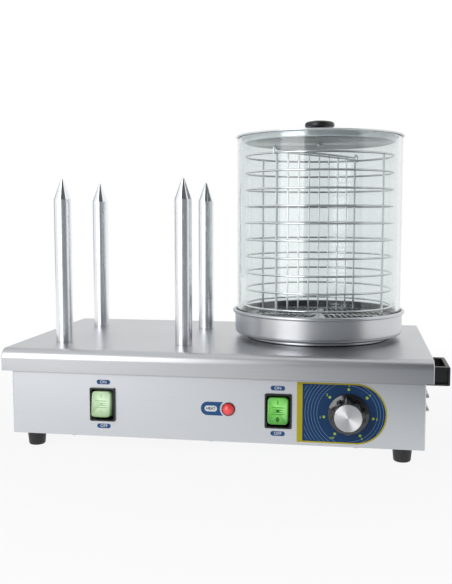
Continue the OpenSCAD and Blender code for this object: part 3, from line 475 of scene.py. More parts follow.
class Socket(Enum):
    """Kinds of named inputs of a shape tree."""

    LENGTH = "NodeSocketFloat"
    COUNT = "NodeSocketInt"
    PLACE = "NodeSocketVector"
    SHAPE = "NodeSocketObject"
    POINTS = "NodeSocketGeometry"
    FINISH = "NodeSocketMaterial"


class ShapeTree(Wiring):
    """A Geometry Nodes tree with named inputs for its sizes."""

    def __init__(self, name: str) -> None:
        """Starts an empty tree.

        Args:
            name: The tree's name.
        """
        super().__init__(bpy.data.node_groups.new(name, "GeometryNodeTree"))
        self.name = name
        self.tree.interface.new_socket("Geometry", in_out="OUTPUT", socket_type=Socket.POINTS.value)
        self.source = self.tree.nodes.new("NodeGroupInput")
        self.values: dict[str, object] = {}

    def size(self, name: str, kind: Socket, value: object = None) -> NodeSocket:
        """Adds a named input.

        Args:
            name: The input's name.
            kind: What it takes.
            value: What it is set to on the piece, where it doesn't come from the piece itself.

        Returns:
            Its socket inside the tree.
        """
        item = self.tree.interface.new_socket(name, in_out="INPUT", socket_type=kind.value)
        if value is not None:
            self.values[item.identifier] = value
        return self.source.outputs[name]

    def round_wire(self, path: NodeSocket, radius: object, sides: int = 12) -> NodeSocket:
        """A round wire inside the tree.

        Args:
            path: The wire's middle line.
            radius: The wire's radius.
            sides: Straight steps round the wire.

        Returns:
            The wire's mesh.
        """
        section = self.add("GeometryNodeCurvePrimitiveCircle", {"Resolution": sides, "Radius": radius})
        swept = self.add("GeometryNodeCurveToMesh", {
            "Curve": path, "Profile Curve": section.outputs["Curve"], "Fill Caps": True})
        return swept.outputs["Mesh"]

    def row(self, item: NodeSocket, count: object, start: object, step: object,
            turn: object = 0.0) -> NodeSocket:
        """Copies of an item on a straight row of points.

        Args:
            item: What is copied.
            count: How many copies.
            start: Place of the first one.
            step: From one to the next.
            turn: How far each one is turned about the upright axis.

        Returns:
            The copies.
        """
        line = self.add("GeometryNodeMeshLine", {"Count": count, "Start Location": start, "Offset": step})
        turned = self.add("FunctionNodeEulerToRotation", {"Euler": self.vector(z=turn)})
        copies = self.add("GeometryNodeInstanceOnPoints", {
            "Points": line.outputs["Mesh"], "Instance": item, "Rotation": turned.outputs["Rotation"]})
        return copies.outputs["Instances"]

    def realise(self, name: str, shape: NodeSocket, finish: "Finish", body: str, *nodes: str,
                points: Mesh | None = None, place: Matrix | None = None,
                crease: float = 35) -> None:
        """Ends the tree and turns its result into a finished piece.

        Args:
            name: The piece's name.
            shape: The tree's last geometry.
            finish: The piece's finish.
            body: The body that it moves with.
            nodes: The solids that it stands for.
            points: The mesh that feeds the tree, where it has one.
            place: Where it goes, if it was drawn about the origin.
            crease: Edges sharper than this, in degrees, stay hard.
        """
        dress = self.size("Finish", Socket.FINISH, finish.material())
        real = self.add("GeometryNodeRealizeInstances", {"Geometry": shape})
        dressed = self.add("GeometryNodeSetMaterial", {
            "Geometry": real.outputs["Geometry"], "Material": dress})
        self.add("NodeGroupOutput", {0: dressed.outputs["Geometry"]})
        obj = put(name, points or bpy.data.meshes.new(name))
        modifier = obj.modifiers.new(self.name, "NODES")
        modifier.node_group = self.tree
        for identifier, value in self.values.items():
            modifier[identifier] = value
        settle(obj)
        smooth(obj.data, crease)
        if place is not None:
            obj.data.transform(place)
        fit(obj, body, finish, *nodes)


@dataclass
class Copies:
    """Copies of one shape at given places, each with its own turn."""

    name: str
    shape: Mesh
    places: Sequence[Sequence[float]]
    turns: Sequence[Sequence[float]] = ()

    def build(self, finish: "Finish", body: str, *nodes: str, place: Matrix | None = None) -> None:
        """Makes the copies as one finished piece.

        Args:
            finish: The piece's finish.
            body: The body that it moves with.
            nodes: The solids that it stands for.
            place: Where it goes, if the places were given about the origin.
        """
        points = bpy.data.meshes.new(self.name)
        points.from_pydata([tuple(spot) for spot in self.places], [], [])
        turns = self.turns or [(0.0, 0.0, 0.0)] * len(self.places)
        turn = points.attributes.new("turn", "FLOAT_VECTOR", "POINT")
        turn.data.foreach_set("vector", [angle for euler in turns for angle in euler])
        model = put(f"{self.name}_model", self.shape)
        tree = ShapeTree(f"{self.name}_copies")
        spots = tree.size("Points", Socket.POINTS)
        chosen = tree.size("Shape", Socket.SHAPE, model)
        item = tree.add("GeometryNodeObjectInfo", {"Object": chosen})
        angle = tree.add("GeometryNodeInputNamedAttribute", {"Name": "turn"}, data_type="FLOAT_VECTOR")
        euler = tree.add("FunctionNodeEulerToRotation", {"Euler": angle.outputs["Attribute"]})
        copies = tree.add("GeometryNodeInstanceOnPoints", {
            "Points": spots, "Instance": item.outputs["Geometry"], "Rotation": euler.outputs["Rotation"]})
        tree.realise(self.name, copies.outputs["Instances"], finish, body, *nodes, points=points, place=place)
        bpy.data.objects.remove(model)


# Finishes

ONE_NOISE = (0.3, 0.7)
TWO_NOISES = (0.7, 1.3)


class Shader(Wiring):
    """The node tree of one material, with its Principled shader."""

    def __init__(self, name: str) -> None:
        """Starts a material.

        Args:
            name: The material's name.
        """
        self.material = bpy.data.materials.new(name)
        self.material.use_nodes = True
        super().__init__(self.material.node_tree)
        self.bsdf = self.tree.nodes["Principled BSDF"]
        coords = self.add("ShaderNodeTexCoord")
        self.spot = coords.outputs["Object"]
        self.normal = coords.outputs["Normal"]

    def fix(self, values: dict[str, object]) -> None:
        """Sets sockets of the shader that are the same all over the surface."""
        for key, value in values.items():
            self.bsdf.inputs[key].default_value = value

    def feed(self, key: str, socket: NodeSocket) -> None:
        """Links a varying value to the shader."""
        self.tree.links.new(socket, self.bsdf.inputs[key])

    def noise(self, stretch: float | Sequence[float], detail: float = 3.0,
              vector: NodeSocket | None = None) -> NodeSocket:
        """Noise with its own grain along each axis.

        Args:
            stretch: Grains per metre along each axis, or along all of them.
            detail: How much finer noise it carries.
            vector: Where it is read, if not at the surface's own place.

        Returns:
            The pattern.
        """
        scale = stretch if isinstance(stretch, Sequence) else (stretch,) * 3
        place = self.add("ShaderNodeMapping", {"Vector": vector or self.spot, "Scale": scale})
        grain = self.add("ShaderNodeTexNoise", {
            "Vector": place.outputs["Vector"], "Scale": 1.0, "Detail": detail})
        return grain.outputs[0]

    def spread(self, value: NodeSocket, low: float = 0.0, high: float = 1.0,
               start: float = ONE_NOISE[0], end: float = ONE_NOISE[1]) -> NodeSocket:
        """Maps a pattern's span from start to end onto a low and a high value."""
        feeds = {"Value": value, "From Min": start, "From Max": end, "To Min": low, "To Max": high}
        return self.add("ShaderNodeMapRange", feeds).outputs["Result"]

    def gloss(self, pattern: NodeSocket, middle_value: float, scatter: float,
              span: tuple[float, float] = ONE_NOISE) -> None:
        """Lets a pattern scatter the roughness about its middle value."""
        self.feed("Roughness", self.spread(pattern, middle_value - scatter, middle_value + scatter, *span))

    def over(self, tone: object, share: NodeSocket, colour: Colour) -> NodeSocket:
        """A tone with a colour laid over part of it."""
        mix = self.add("ShaderNodeMix", {0: share, 6: tone, 7: (*colour, 1)}, data_type="RGBA")
        return mix.outputs[2]

    def tint(self, pattern: NodeSocket, first: Colour, second: Colour) -> NodeSocket:
        """A colour between two by a pattern."""
        return self.over((*first, 1), pattern, second)

    def from_axis(self, centre: Sequence[float], axes: str) -> tuple[NodeSocket, NodeSocket]:
        """How each point lies from an axis.

        Args:
            centre: A point of the axis.
            axes: The two letters of the axes that lie across it.

        Returns:
            The offset from the axis and its length.
        """
        place = self.add("ShaderNodeMapping", {"Vector": self.spot, "Location": [-value for value in centre]})
        parts = self.add("ShaderNodeSeparateXYZ", {"Vector": place.outputs["Vector"]})
        across = self.add("ShaderNodeCombineXYZ", {axis: parts.outputs[axis] for axis in axes})
        flat = across.outputs["Vector"]
        return flat, self.measure("LENGTH", flat)

    def bump(self, height: NodeSocket, strength: float, distance: float) -> None:
        """Raises the surface's fine relief from a pattern."""
        relief = self.add("ShaderNodeBump", {"Height": height, "Strength": strength, "Distance": distance})
        self.feed("Normal", relief.outputs["Normal"])

    def spin(self, axis: str, anisotropy: float) -> None:
        """Stretches the highlights across turning marks.

        Args:
            axis: The letter of the axis that the marks run round.
            anisotropy: How far the highlights are stretched.
        """
        tangent = self.add("ShaderNodeTangent", direction_type="RADIAL", axis=axis)
        self.feed("Tangent", tangent.outputs["Tangent"])
        self.fix({"Anisotropic": anisotropy, "Anisotropic Rotation": 0.25})


@dataclass(frozen=True)
class Finish:
    """A surface finish: its name, the record's slot, its colour and its gloss."""

    name: str
    slot: str
    colour: Colour
    roughness: float

    def material(self) -> Material:
        """The finish's material, made at its first use.

        Returns:
            The material.
        """
        known = bpy.data.materials.get(self.name)
        if known:
            return known
        shader = Shader(self.name)
        self.paint(shader)
        return shader.material

    def paint(self, shader: Shader) -> None:
        """Wires the nodes of the material under construction."""
        raise NotImplementedError

    def shade(self, amount: float) -> Colour:
        """The finish's colour, darker by a share."""
        return tuple(part * (1 - amount) for part in self.colour)


@dataclass(frozen=True)
class BrushedSteel(Finish):
    """Sheet steel with fine straight brushing, level on every face."""

    grain: float = 2600.0
    along: float = 6.0
    scatter: float = 0.03
    relief: float = 0.04
    # A band of painted shade between two heights, and how much darker it is.
    dusty: tuple[float, float] = (0.0, 0.0)
    dust: float = 0.55
    clouds: float = 9.0

    def paint(self, shader: Shader) -> None:
        """Brushing along X, or along Y on faces that look sideways, under faint handling marks, with a band
        of painted shade where one is set.

        Args:
            shader: The material under construction.
        """
        across_face = shader.noise((self.along, self.grain, self.grain))
        side_face = shader.noise((self.grain, self.along, self.grain))
        sideways = shader.math("ABSOLUTE", shader.part(shader.normal, "X"))
        brush = shader.add("ShaderNodeMix", {0: sideways, 2: across_face, 3: side_face}).outputs[0]
        both = shader.math("ADD", brush, shader.noise(self.clouds))
        tone = shader.tint(shader.spread(brush), self.shade(0.05), self.colour)
        # Painted shade: darker between two heights, standing in for the shadow under an overhanging sheet.
        if self.dusty[1] > self.dusty[0]:
            height = shader.part(shader.spot, "Z")
            tone = shader.over(tone, shader.spread(height, 0, 1, *self.dusty), self.shade(self.dust))
        shader.feed("Base Color", tone)
        shader.gloss(both, self.roughness, self.scatter, TWO_NOISES)
        shader.bump(brush, self.relief, 0.02 * MM)
        shader.fix({"Metallic": 1.0})


class Dulled(Enum):
    """Where shade is painted into a piece's colour: from which lean of its faces to which, up being 1.

    For the inside of a turned piece, the lean is the offset from its axis along the face's normal.
    """

    NOWHERE = (0.0, 0.0)
    INSIDE = (-0.09, -0.05)
    UNDERSIDE = (-0.9, -0.5)
    LOWER_HALF = (-0.6, 0.0)
    BELOW_TOP = (0.3, 0.7)


@dataclass(frozen=True)
class TurnedSteel(Finish):
    """Spun or drawn steel with fine rings about an upright axis."""

    centre: tuple[float, float] = (0.0, 0.0)
    grain: float = 1200.0
    scatter: float = 0.05
    anisotropy: float = 0.0
    # Painted shade: the faces picked here get a darker colour, standing in for shade inside and under the
    # piece.
    dulled: Dulled = Dulled.NOWHERE
    dulling: float = 0.0
    metal: float = 1.0
    dulled_r: float = 1.0
    fade: float = 1 * MM
    clouds: float = 14.0

    def dullness(self, shader: Shader, flat: NodeSocket, reach: NodeSocket) -> NodeSocket:
        """How much painted shade each face gets.

        Args:
            shader: The material under construction.
            flat: The offset from the axis.
            reach: The distance from the axis.

        Returns:
            A share from none to one.
        """
        if self.dulled is Dulled.INSIDE:
            lean = shader.measure("DOT_PRODUCT", flat, shader.normal)
        else:
            lean = shader.part(shader.normal, "Z")
        near = shader.spread(reach, 1, 0, self.dulled_r - self.fade, self.dulled_r + self.fade)
        return shader.math("MULTIPLY", shader.spread(lean, 1, 0, *self.dulled.value), near)

    def paint(self, shader: Shader) -> None:
        """Rings by distance from the axis and by height, with slow drawing marks.

        Args:
            shader: The material under construction.
        """
        flat, reach = shader.from_axis((*self.centre, 0.0), "XY")
        rings = shader.vector(x=reach, z=shader.part(shader.spot, "Z"))
        brush = shader.noise((self.grain, 1.0, self.grain), vector=rings)
        both = shader.math("ADD", brush, shader.noise(self.clouds))
        tone = shader.tint(shader.spread(both, 0, 1, *TWO_NOISES), self.shade(0.07), self.colour)
        # Painted shade laid over the tone on the picked faces.
        if self.dulled is not Dulled.NOWHERE:
            tone = shader.over(tone, self.dullness(shader, flat, reach), self.shade(self.dulling))
        shader.feed("Base Color", tone)
        shader.gloss(both, self.roughness, self.scatter, TWO_NOISES)
        shader.bump(brush, 0.03, 0.03 * MM)
        if self.anisotropy:
            shader.spin("Z", self.anisotropy)
        shader.fix({"Metallic": self.metal})


@dataclass(frozen=True)
class SpunCap(Finish):
    """A small spun metal face that looks forwards, with rings about its own axis."""

    centre: tuple[float, float] = (0.0, 0.0)
    grain: float = 2600.0
    anisotropy: float = 0.97

    def paint(self, shader: Shader) -> None:
        """Fine rings about the axis and highlights that run across them.

        Args:
            shader: The material under construction.
        """
        _, reach = shader.from_axis((self.centre[0], 0.0, self.centre[1]), "XZ")
        brush = shader.noise((self.grain, 1.0, 1.0), vector=shader.vector(x=reach))
        shader.feed("Base Color", shader.tint(shader.spread(brush), self.shade(0.1), self.colour))
        shader.gloss(brush, self.roughness, 0.15 * self.roughness)
        shader.spin("Y", self.anisotropy)
        shader.fix({"Metallic": 1.0})


@dataclass(frozen=True)
class PolishedSteel(Finish):
    """Bright metal with a faint haze and fine handling marks."""

    scatter: float = 0.03
    grain: tuple[float, float, float] = (420.0, 420.0, 60.0)
    metal: float = 1.0
    # Painted shade: the faces picked here get a darker colour, standing in for shade on the lower faces.
    dulled: Dulled = Dulled.NOWHERE
    dulling: float = 0.0
    clouds: tuple[float, float, float] = (30.0, 30.0, 18.0)

    def paint(self, shader: Shader) -> None:
        """A low gloss change by fine streaks and slow clouds, with painted shade on the picked faces.

        Args:
            shader: The material under construction.
        """
        clouds = shader.noise(self.clouds)
        tone = shader.tint(shader.spread(clouds), self.shade(0.05), self.colour)
        # Painted shade laid over the tone on the picked faces.
        if self.dulled is not Dulled.NOWHERE:
            dull = shader.spread(shader.part(shader.normal, "Z"), 1, 0, *self.dulled.value)
            tone = shader.over(tone, dull, self.shade(self.dulling))
        shader.feed("Base Color", tone)
        both = shader.math("ADD", shader.noise(self.grain), clouds)
        shader.gloss(both, self.roughness, self.scatter, TWO_NOISES)
        shader.fix({"Metallic": self.metal})


@dataclass(frozen=True)
class GroundSteel(PolishedSteel):
    """Satin metal whose upper end is ground bright."""

    tip_z: float = 0.0
    tip_roughness: float = 0.1
    blend: float = 0.3 * MM

    def paint(self, shader: Shader) -> None:
        """The satin below the tip's height, the ground surface above it.

        Args:
            shader: The material under construction.
        """
        super().paint(shader)
        satin = shader.bsdf.inputs["Roughness"].links[0].from_socket
        height = shader.part(shader.spot, "Z")
        ground = shader.spread(height, 0, 1, self.tip_z - self.blend, self.tip_z + self.blend)
        both = shader.add("ShaderNodeMix", {0: ground, 2: satin, 3: self.tip_roughness})
        shader.feed("Roughness", both.outputs[0])


@dataclass(frozen=True)
class ClearGlass(Finish):
    """Thick clear glass with a slight tint and a faint film of use."""

    ior: float = 1.47
    smears: tuple[float, float, float] = (12.0, 12.0, 5.0)

    def paint(self, shader: Shader) -> None:
        """Transmission with a trace of smear in its gloss."""
        shader.feed("Roughness", shader.spread(shader.noise(self.smears), 0.0, self.roughness))
        shader.fix({"Base Color": (*self.colour, 1), "Transmission Weight": 1.0, "IOR": self.ior})


@dataclass(frozen=True)
class Moulding(Finish):
    """Moulded plastic or rubber with a fine grain and slight wear."""

    grain: float = 1500.0
    relief: float = 0.15
    worn: float = 0.25
    coat: float = 0.0
    wear: float = 45.0

    def paint(self, shader: Shader) -> None:
        """Fine grain in the relief, slow wear in colour and gloss.

        Args:
            shader: The material under construction.
        """
        wear = shader.noise(self.wear)
        paler = tuple(min(1.0, part * (1 + self.worn) + 0.004 * self.worn) for part in self.colour)
        shader.feed("Base Color", shader.tint(shader.spread(wear), self.colour, paler))
        shader.gloss(wear, self.roughness, 0.15 * self.roughness)
        shader.bump(shader.noise(self.grain, 2.0), self.relief, 0.05 * MM)
        shader.fix({"Coat Weight": self.coat, "Coat Roughness": 0.08})


@dataclass(frozen=True)
class LitPlastic(Finish):
    """Translucent plastic with a lamp behind its middle."""

    edge: Colour = (0.0, 0.0, 0.0)
    glow_at: tuple[float, float, float] = (0.0, 0.0, 0.0)
    reach: float = 18 * MM
    glow: float = 0.2
    haze: float = 700.0
    depth: float = 2 * MM

    def paint(self, shader: Shader) -> None:
        """Colour and light that fall off from the lamp's place.

        Args:
            shader: The material under construction.
        """
        away = shader.measure("DISTANCE", shader.spot, self.glow_at)
        near = shader.spread(away, 1.0, 0.0, self.reach * 0.1, self.reach)
        hue = shader.tint(near, self.edge, self.colour)
        shader.feed("Base Color", hue)
        shader.feed("Emission Color", hue)
        shader.feed("Emission Strength", shader.spread(near, 0.0, self.glow, 0.0, 1.0))
        shader.gloss(shader.noise(self.haze), self.roughness, 0.15 * self.roughness)
        shader.fix({"Coat Weight": 0.3, "Coat Roughness": 0.1, "Subsurface Weight": 0.15,
                    "Subsurface Radius": (self.depth,) * 3})


@dataclass(frozen=True)
class Ink(Finish):
    """Screen-printed colour with a fine mesh in its tone."""

    coat: float = 0.2
    weave: float = 2400.0

    def paint(self, shader: Shader) -> None:
        """Slight unevenness of the printed layer.

        Args:
            shader: The material under construction.
        """
        weave = shader.noise(self.weave, 1.0)
        shader.feed("Base Color", shader.tint(shader.spread(weave), self.shade(0.08), self.colour))
        shader.gloss(weave, self.roughness, 0.1 * self.roughness)
        shader.fix({"Coat Weight": self.coat, "Coat Roughness": 0.2, "Specular IOR Level": 0.25})


SHEET = BrushedSteel("brushed_sheet", "brushed_stainless", srgb(191, 193, 196), 0.34)
# Painted shade: the wires' lower halves get a darker colour.
WIRE = PolishedSteel("drawn_wire", "basket_wire", srgb(252, 253, 254), 0.09, metal=0.7,
                     dulled=Dulled.LOWER_HALF, dulling=0.85)
# Painted shade: the pan's bottom is coloured dark, standing in for the shade under the basket.
SHADED_STEEL = PolishedSteel("scaled_steel", "satin_stainless", srgb(52, 57, 59), 0.3, 0.06)
SATIN = BrushedSteel("satin_plate", "satin_stainless", srgb(205, 207, 210), 0.34)
ZINC = PolishedSteel("zinc_plate", "zinc_steel", srgb(186, 187, 190), 0.32, 0.06)
BRASS = PolishedSteel("plain_brass", "brass", srgb(205, 170, 100), 0.28, 0.06)
CAST = PolishedSteel("cast_aluminium", "plain_aluminium", srgb(196, 198, 200), 0.38, 0.06)
GLASS = ClearGlass("clear_glass_wall", "clear_glass", srgb(236, 240, 240), 0.03)
RUBBER = Moulding("black_foot_rubber", "black_rubber", srgb(30, 31, 34), 0.5, 900.0, 0.25)
GRAINED = Moulding("grained_black", "black_plastic", srgb(24, 24, 26), 0.42, 1300.0, 0.3)
GLOSS = Moulding("gloss_black_moulding", "gloss_black", srgb(8, 8, 10), 0.2, 1500.0, 0.03, 0.2, 0.2)
CERAMIC = Moulding("glazed_block", "ceramic", srgb(226, 222, 208), 0.4, 900.0, 0.1, 0.05)
LEADS = Moulding("wire_sleeve", "wire_cover", srgb(168, 78, 58), 0.5, 1500.0, 0.1, 0.1)
BLUE_INK = Ink("blue_print", "printed_film", srgb(18, 60, 104), 0.45, 0.0)
SLATE_INK = Ink("slate_print", "printed_film", srgb(40, 84, 138), 0.45, 0.0)
PALE_INK = Ink("pale_print", "printed_film", srgb(226, 230, 234), 0.4)
LINE_INK = Ink("pale_line_print", "printed_film", srgb(112, 146, 190), 0.4)
YELLOW_INK = Ink("yellow_print", "printed_film", srgb(190, 176, 24), 0.45, 0.1)
DOT_INK = Ink("dot_print", "printed_film", srgb(172, 202, 62), 0.4)
DARK_INK = Ink("dark_print", "printed_film", srgb(40, 52, 76), 0.4)
SILVER_FILM = BrushedSteel("silver_film", "printed_film", srgb(206, 209, 213), 0.36)
DIAL_BLACK = Moulding("dial_black", "gloss_black", srgb(6, 6, 8), 0.16, 1500.0, 0.02, 0.2, 0.8)
KNOB = Moulding("knob_black", "gloss_black", srgb(24, 24, 26), 0.34, 1500.0, 0.03, 0.2, 0.1)


def fit(obj: Object, body: str, finish: Finish, *nodes: str) -> Object:
    """Dresses a finished piece, sets it on its body and hides the solids that it stands for.

    Args:
        obj: The piece.
        body: The body that it moves with.
        finish: Its finish.
        nodes: The solids that it stands for.

    Returns:
        The piece.
    """
    if not obj.data.materials:
        obj.data.materials.append(finish.material())
    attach(obj, body)
    if nodes:
        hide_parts(*nodes)
    log.info("%s rides on %s and stands for %s", obj.name, body, ", ".join(nodes) or "trim")
    return obj


def make(name: str, bm: BMesh, place: Matrix | None, finish: Finish, body: str, *nodes: str,
         crease: float = 35) -> Object:
    """Ends a mesh under construction as a finished piece.

    Args:
        name: The piece's name.
        bm: The mesh under construction, which is freed.
        place: Where it goes, if it was drawn about the origin.
        finish: Its finish.
        body: The body that it moves with.
        nodes: The solids that it stands for.
        crease: Edges sharper than this, in degrees, stay hard.

    Returns:
        The piece.
    """
    obj = put(name, as_mesh(name, bm, place, crease))
    even_shading(obj)
    return fit(obj, body, finish, *nodes)


def make_folded(name: str, bm: BMesh, place: Matrix | None, thickness: float,
                openings: Sequence[Mesh], finish: Finish, *nodes: str) -> None:
    """Ends a folded sheet as a finished piece of the base.

    Args:
        name: The piece's name.
        bm: The sheet's outer face under construction, which is freed.
        place: Where it goes, if it was drawn about the origin.
        thickness: The sheet's thickness.
        openings: The shapes that are cut out of it.
        finish: Its finish.
        nodes: The solids that it stands for.
    """
    crease = 50
    sheet = put(name, as_mesh(name, bm, place, crease))
    thicken(sheet, thickness)
    cut(sheet, openings, crease)
    fit(sheet, "base", finish, *nodes)


def middle(node: str) -> Vector:
    """The middle of a solid's box."""
    low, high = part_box(node)
    return (low + high) / 2


def upright(at: Vector, z: float = 0.0) -> Matrix:
    """The matrix that carries a turned piece to the upright axis through a place."""
    return Matrix.Translation((at.x, at.y, z))


def joint_place(name: str) -> Vector:
    """Where a joint of the frame turns."""
    return Vector(next(joint["pos_m"] for joint in frame["joints"] if joint["name"] == name))


# The base

SPIKES = [f"spike_{row}_{side}" for row in ("front", "back") for side in ("left", "right")]


@dataclass
class TopCover:
    """The folded cover: a rolled front edge and tight folds at the other edges."""

    bend_r: float = 11 * MM
    fold_r: float = 1.8 * MM
    corner_share: float = 0.98
    sheet_t: float = 1.2 * MM
    bend_steps: int = 18
    fold_steps: int = 5
    spike_hole_r: float = 7.8 * MM
    opening_r: float = 78 * MM

    def outline(self, inset: float) -> Loop:
        """The cover's depth-height outline from back to front.

        Args:
            inset: How far it is set in.

        Returns:
            The outline.
        """
        low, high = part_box("top_cover")
        fold = (high.y - self.fold_r, high.z - self.fold_r)
        bend = (low.y + self.bend_r, high.z - self.bend_r)
        return [Vector((high.y - inset, low.z)),
                *arc(fold, self.fold_r - inset, 0, 90, self.fold_steps),
                *arc(bend, self.bend_r - inset, 90, 180, self.bend_steps),
                Vector((low.y + inset, low.z))]

    def build(self) -> None:
        """Skins the cover from side to side, gives it its wall and opens it for spikes and steamer."""
        low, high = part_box("top_cover")
        loops = []
        for side in (low.x, high.x):
            inward = 1 if side < 0 else -1
            end = []
            for inset, rise in quarter(self.fold_r, self.fold_steps):
                outline = self.outline(self.corner_share * (self.fold_r - rise))
                end.append([Vector((side + inward * inset, p.x, p.y)) for p in outline])
            loops += end if side < 0 else end[::-1]
        depth = 4 * self.sheet_t
        holes = [(middle(node), self.spike_hole_r) for node in SPIKES]
        holes.append((middle("water_pan"), self.opening_r))
        openings = [as_mesh("hole", bar(circle(radius, 64), -depth, depth), upright(at, high.z))
                    for at, radius in holes]
        make_folded("top_cover_sheet", loft(loops, wrap=False), None, self.sheet_t, openings, SHEET,
                    "top_cover")


@dataclass
class Housing:
    """The four-sided sheet housing under the cover, with pressed louvres in its sides."""

    corner_r: float = 2.2 * MM
    sheet_t: float = 1.2 * MM
    flange: float = 12 * MM
    flange_corner: float = 0.3 * MM
    bend_r: float = 1.6 * MM
    bezel_lap: float = 1.1 * MM
    opening_corner: float = 0.5 * MM
    lamp_hole_r: float = 5.3 * MM
    spindle_hole_r: float = 5 * MM
    gland_hole_r: float = 8.3 * MM
    louvre_len: float = 60 * MM
    louvre_h: float = 8.2 * MM
    louvre_out: float = 4 * MM
    louvre_pitch: float = 14.3 * MM
    louvre_in: float = 8 * MM
    louvre_drop: float = 10.7 * MM
    louvre_rows: int = 2
    louvre_lip: float = 1.8 * MM
    louvre_end: float = 0.035
    louvre_set: float = 0.2 * MM
    louvre_t: float = 0.96 * MM
    louvre_steps: tuple[int, int] = (40, 10)
    # Where the band of painted shade under the cover's skirt starts and ends, below the skirt.
    dust_start: float = 2.2 * MM
    dust_end: float = 4.2 * MM

    def walls(self) -> None:
        """The walls with their upper flange, open for the controls and the inlet."""
        front_low, front_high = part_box("control_panel")
        _, back_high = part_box("back_panel")
        width = front_high.x - front_low.x
        depth = back_high.y - front_low.y
        base = Matrix.Translation((0, (front_low.y + back_high.y) / 2, 0))
        bend_z = front_high.z - self.bend_r
        steps = [(0.0, front_low.z), *[(inset, bend_z + rise) for inset, rise in quarter(self.bend_r)],
                 (self.flange, front_high.z)]
        loops = [lift(soft_rect(width, depth, max(self.corner_r, inset + self.flange_corner), inset), z)
                 for inset, z in steps]
        # Painted shade: a darker band just under the cover's skirt stands in for the skirt's shadow on the
        # walls.
        skirt_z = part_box("top_cover")[0].z
        # Painted light: the walls' steel is a lighter copy of the cover's sheet, for how the light falls on
        # them.
        finish = BrushedSteel("panel_sheet", "brushed_stainless", srgb(206, 209, 213), 0.36,
                              dusty=(skirt_z - self.dust_end, skirt_z - self.dust_start))
        make_folded("housing_walls", loft(loops, caps=False), base, self.sheet_t,
                    self.openings(front_low.y, back_high.y), finish,
                    "control_panel", "back_panel", "left_side_panel", "right_side_panel")

    def openings(self, front_y: float, back_y: float) -> list[Mesh]:
        """Cutting shapes for the switches, the lamp, the spindle, the inlet and the louvres.

        Args:
            front_y: Where the control panel is.
            back_y: Where the back panel is.

        Returns:
            The shapes.
        """
        through = 3 * self.sheet_t
        lap = self.bezel_lap
        tools = []
        for node in ("left_switch_case", "right_switch_case"):
            low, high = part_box(node)
            at = middle(node)
            outline = soft_rect(high.x - low.x, high.z - low.z, self.opening_corner + lap, lap)
            tools.append((bar(outline, -through, through), Facing.FRONT.at((at.x, front_y, at.z))))
        for node, radius, y in (("lamp_nut", self.lamp_hole_r, front_y),
                                ("thermostat_spindle", self.spindle_hole_r, front_y),
                                ("gland_nut", self.gland_hole_r, back_y)):
            at = middle(node)
            tools.append((bar(circle(radius), -through, through), Facing.FRONT.at((at.x, y, at.z))))
        slot = soft_rect(2 * through, self.louvre_len - 2 * self.sheet_t, self.flange_corner)
        for _, spot in self.louvre_spots():
            place = Matrix.Translation(spot - Vector((0, 0, self.louvre_h - self.sheet_t)))
            tools.append((bar(slot, 0, self.louvre_h - 3 * self.sheet_t), place))
        return [as_mesh("tool", bm, place) for bm, place in tools]

    def louvre_spots(self) -> list[tuple[int, Vector]]:
        """The louvres' places.

        Returns:
            Side and upper middle of each louvre.
        """
        low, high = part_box("control_panel")
        skirt_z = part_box("top_cover")[0].z
        y = low.y + self.louvre_in + self.louvre_len / 2
        return [(side, Vector((side * high.x, y, skirt_z - self.louvre_drop - row * self.louvre_pitch)))
                for side in (1, -1) for row in range(self.louvre_rows)]

    def hood(self) -> Mesh:
        """One pressed hood on the right, about the upper middle of its slot, open below.

        Returns:
            The hood's mesh.
        """
        along, down = self.louvre_steps
        loops = []
        for k in range(down + 1):
            drop = self.louvre_h * k / down
            slope = min(1.0, drop / (self.louvre_h - self.louvre_lip))
            loop = []
            for i in range(along + 1):
                share = 2 * i / along - 1
                end = min(1.0, (1 - abs(share)) / self.louvre_end)
                out = self.louvre_out * slope * math.sqrt(1 - (1 - end) ** 2)
                loop.append(Vector((out - self.louvre_set, self.louvre_len / 2 * share, -drop)))
            loops.append(loop)
        bm = loft(loops, wrap=False, caps=False)
        for face in bm.faces:
            if face.normal.x < 0:
                face.normal_flip()
        hood = put("hood", as_mesh("hood", bm, crease=40))
        thicken(hood, self.louvre_t)
        return taken(hood)

    def louvres(self) -> None:
        """The hoods on both sides."""
        sides, spots = zip(*self.louvre_spots())
        turns = [(0, 0, 0 if side > 0 else math.pi) for side in sides]
        Copies("side_louvres", self.hood(), spots, turns).build(SHEET, "base")

    def build(self) -> None:
        """Builds the walls and the louvres."""
        self.walls()
        self.louvres()


@dataclass
class Feet:
    """Four tapered rubber feet."""

    top_r: float = 10.75 * MM
    floor_r: float = 9.2 * MM
    edge_r: float = 2.2 * MM
    top_edge_r: float = 0.8 * MM
    pocket_r: float = 4.1 * MM
    pocket_edge_r: float = 0.6 * MM

    def build(self) -> None:
        """Turns one foot and copies it to the four places."""
        low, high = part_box("rubber_feet")
        height = high.z - low.z
        profile = fillet([(self.pocket_r, 0, self.pocket_edge_r), (self.floor_r, 0, self.edge_r),
                          (self.top_r, height, self.top_edge_r), (self.pocket_r, height, 0)])
        model = as_mesh("foot", lathe(profile, closed=True, steps=48), crease=40)
        x = high.x - self.top_r
        ys = (low.y + self.top_r, high.y - self.top_r)
        places = [(side * x, y, low.z) for side in (-1, 1) for y in ys]
        Copies("rubber_feet_turned", model, places).build(RUBBER, "base", "rubber_feet")


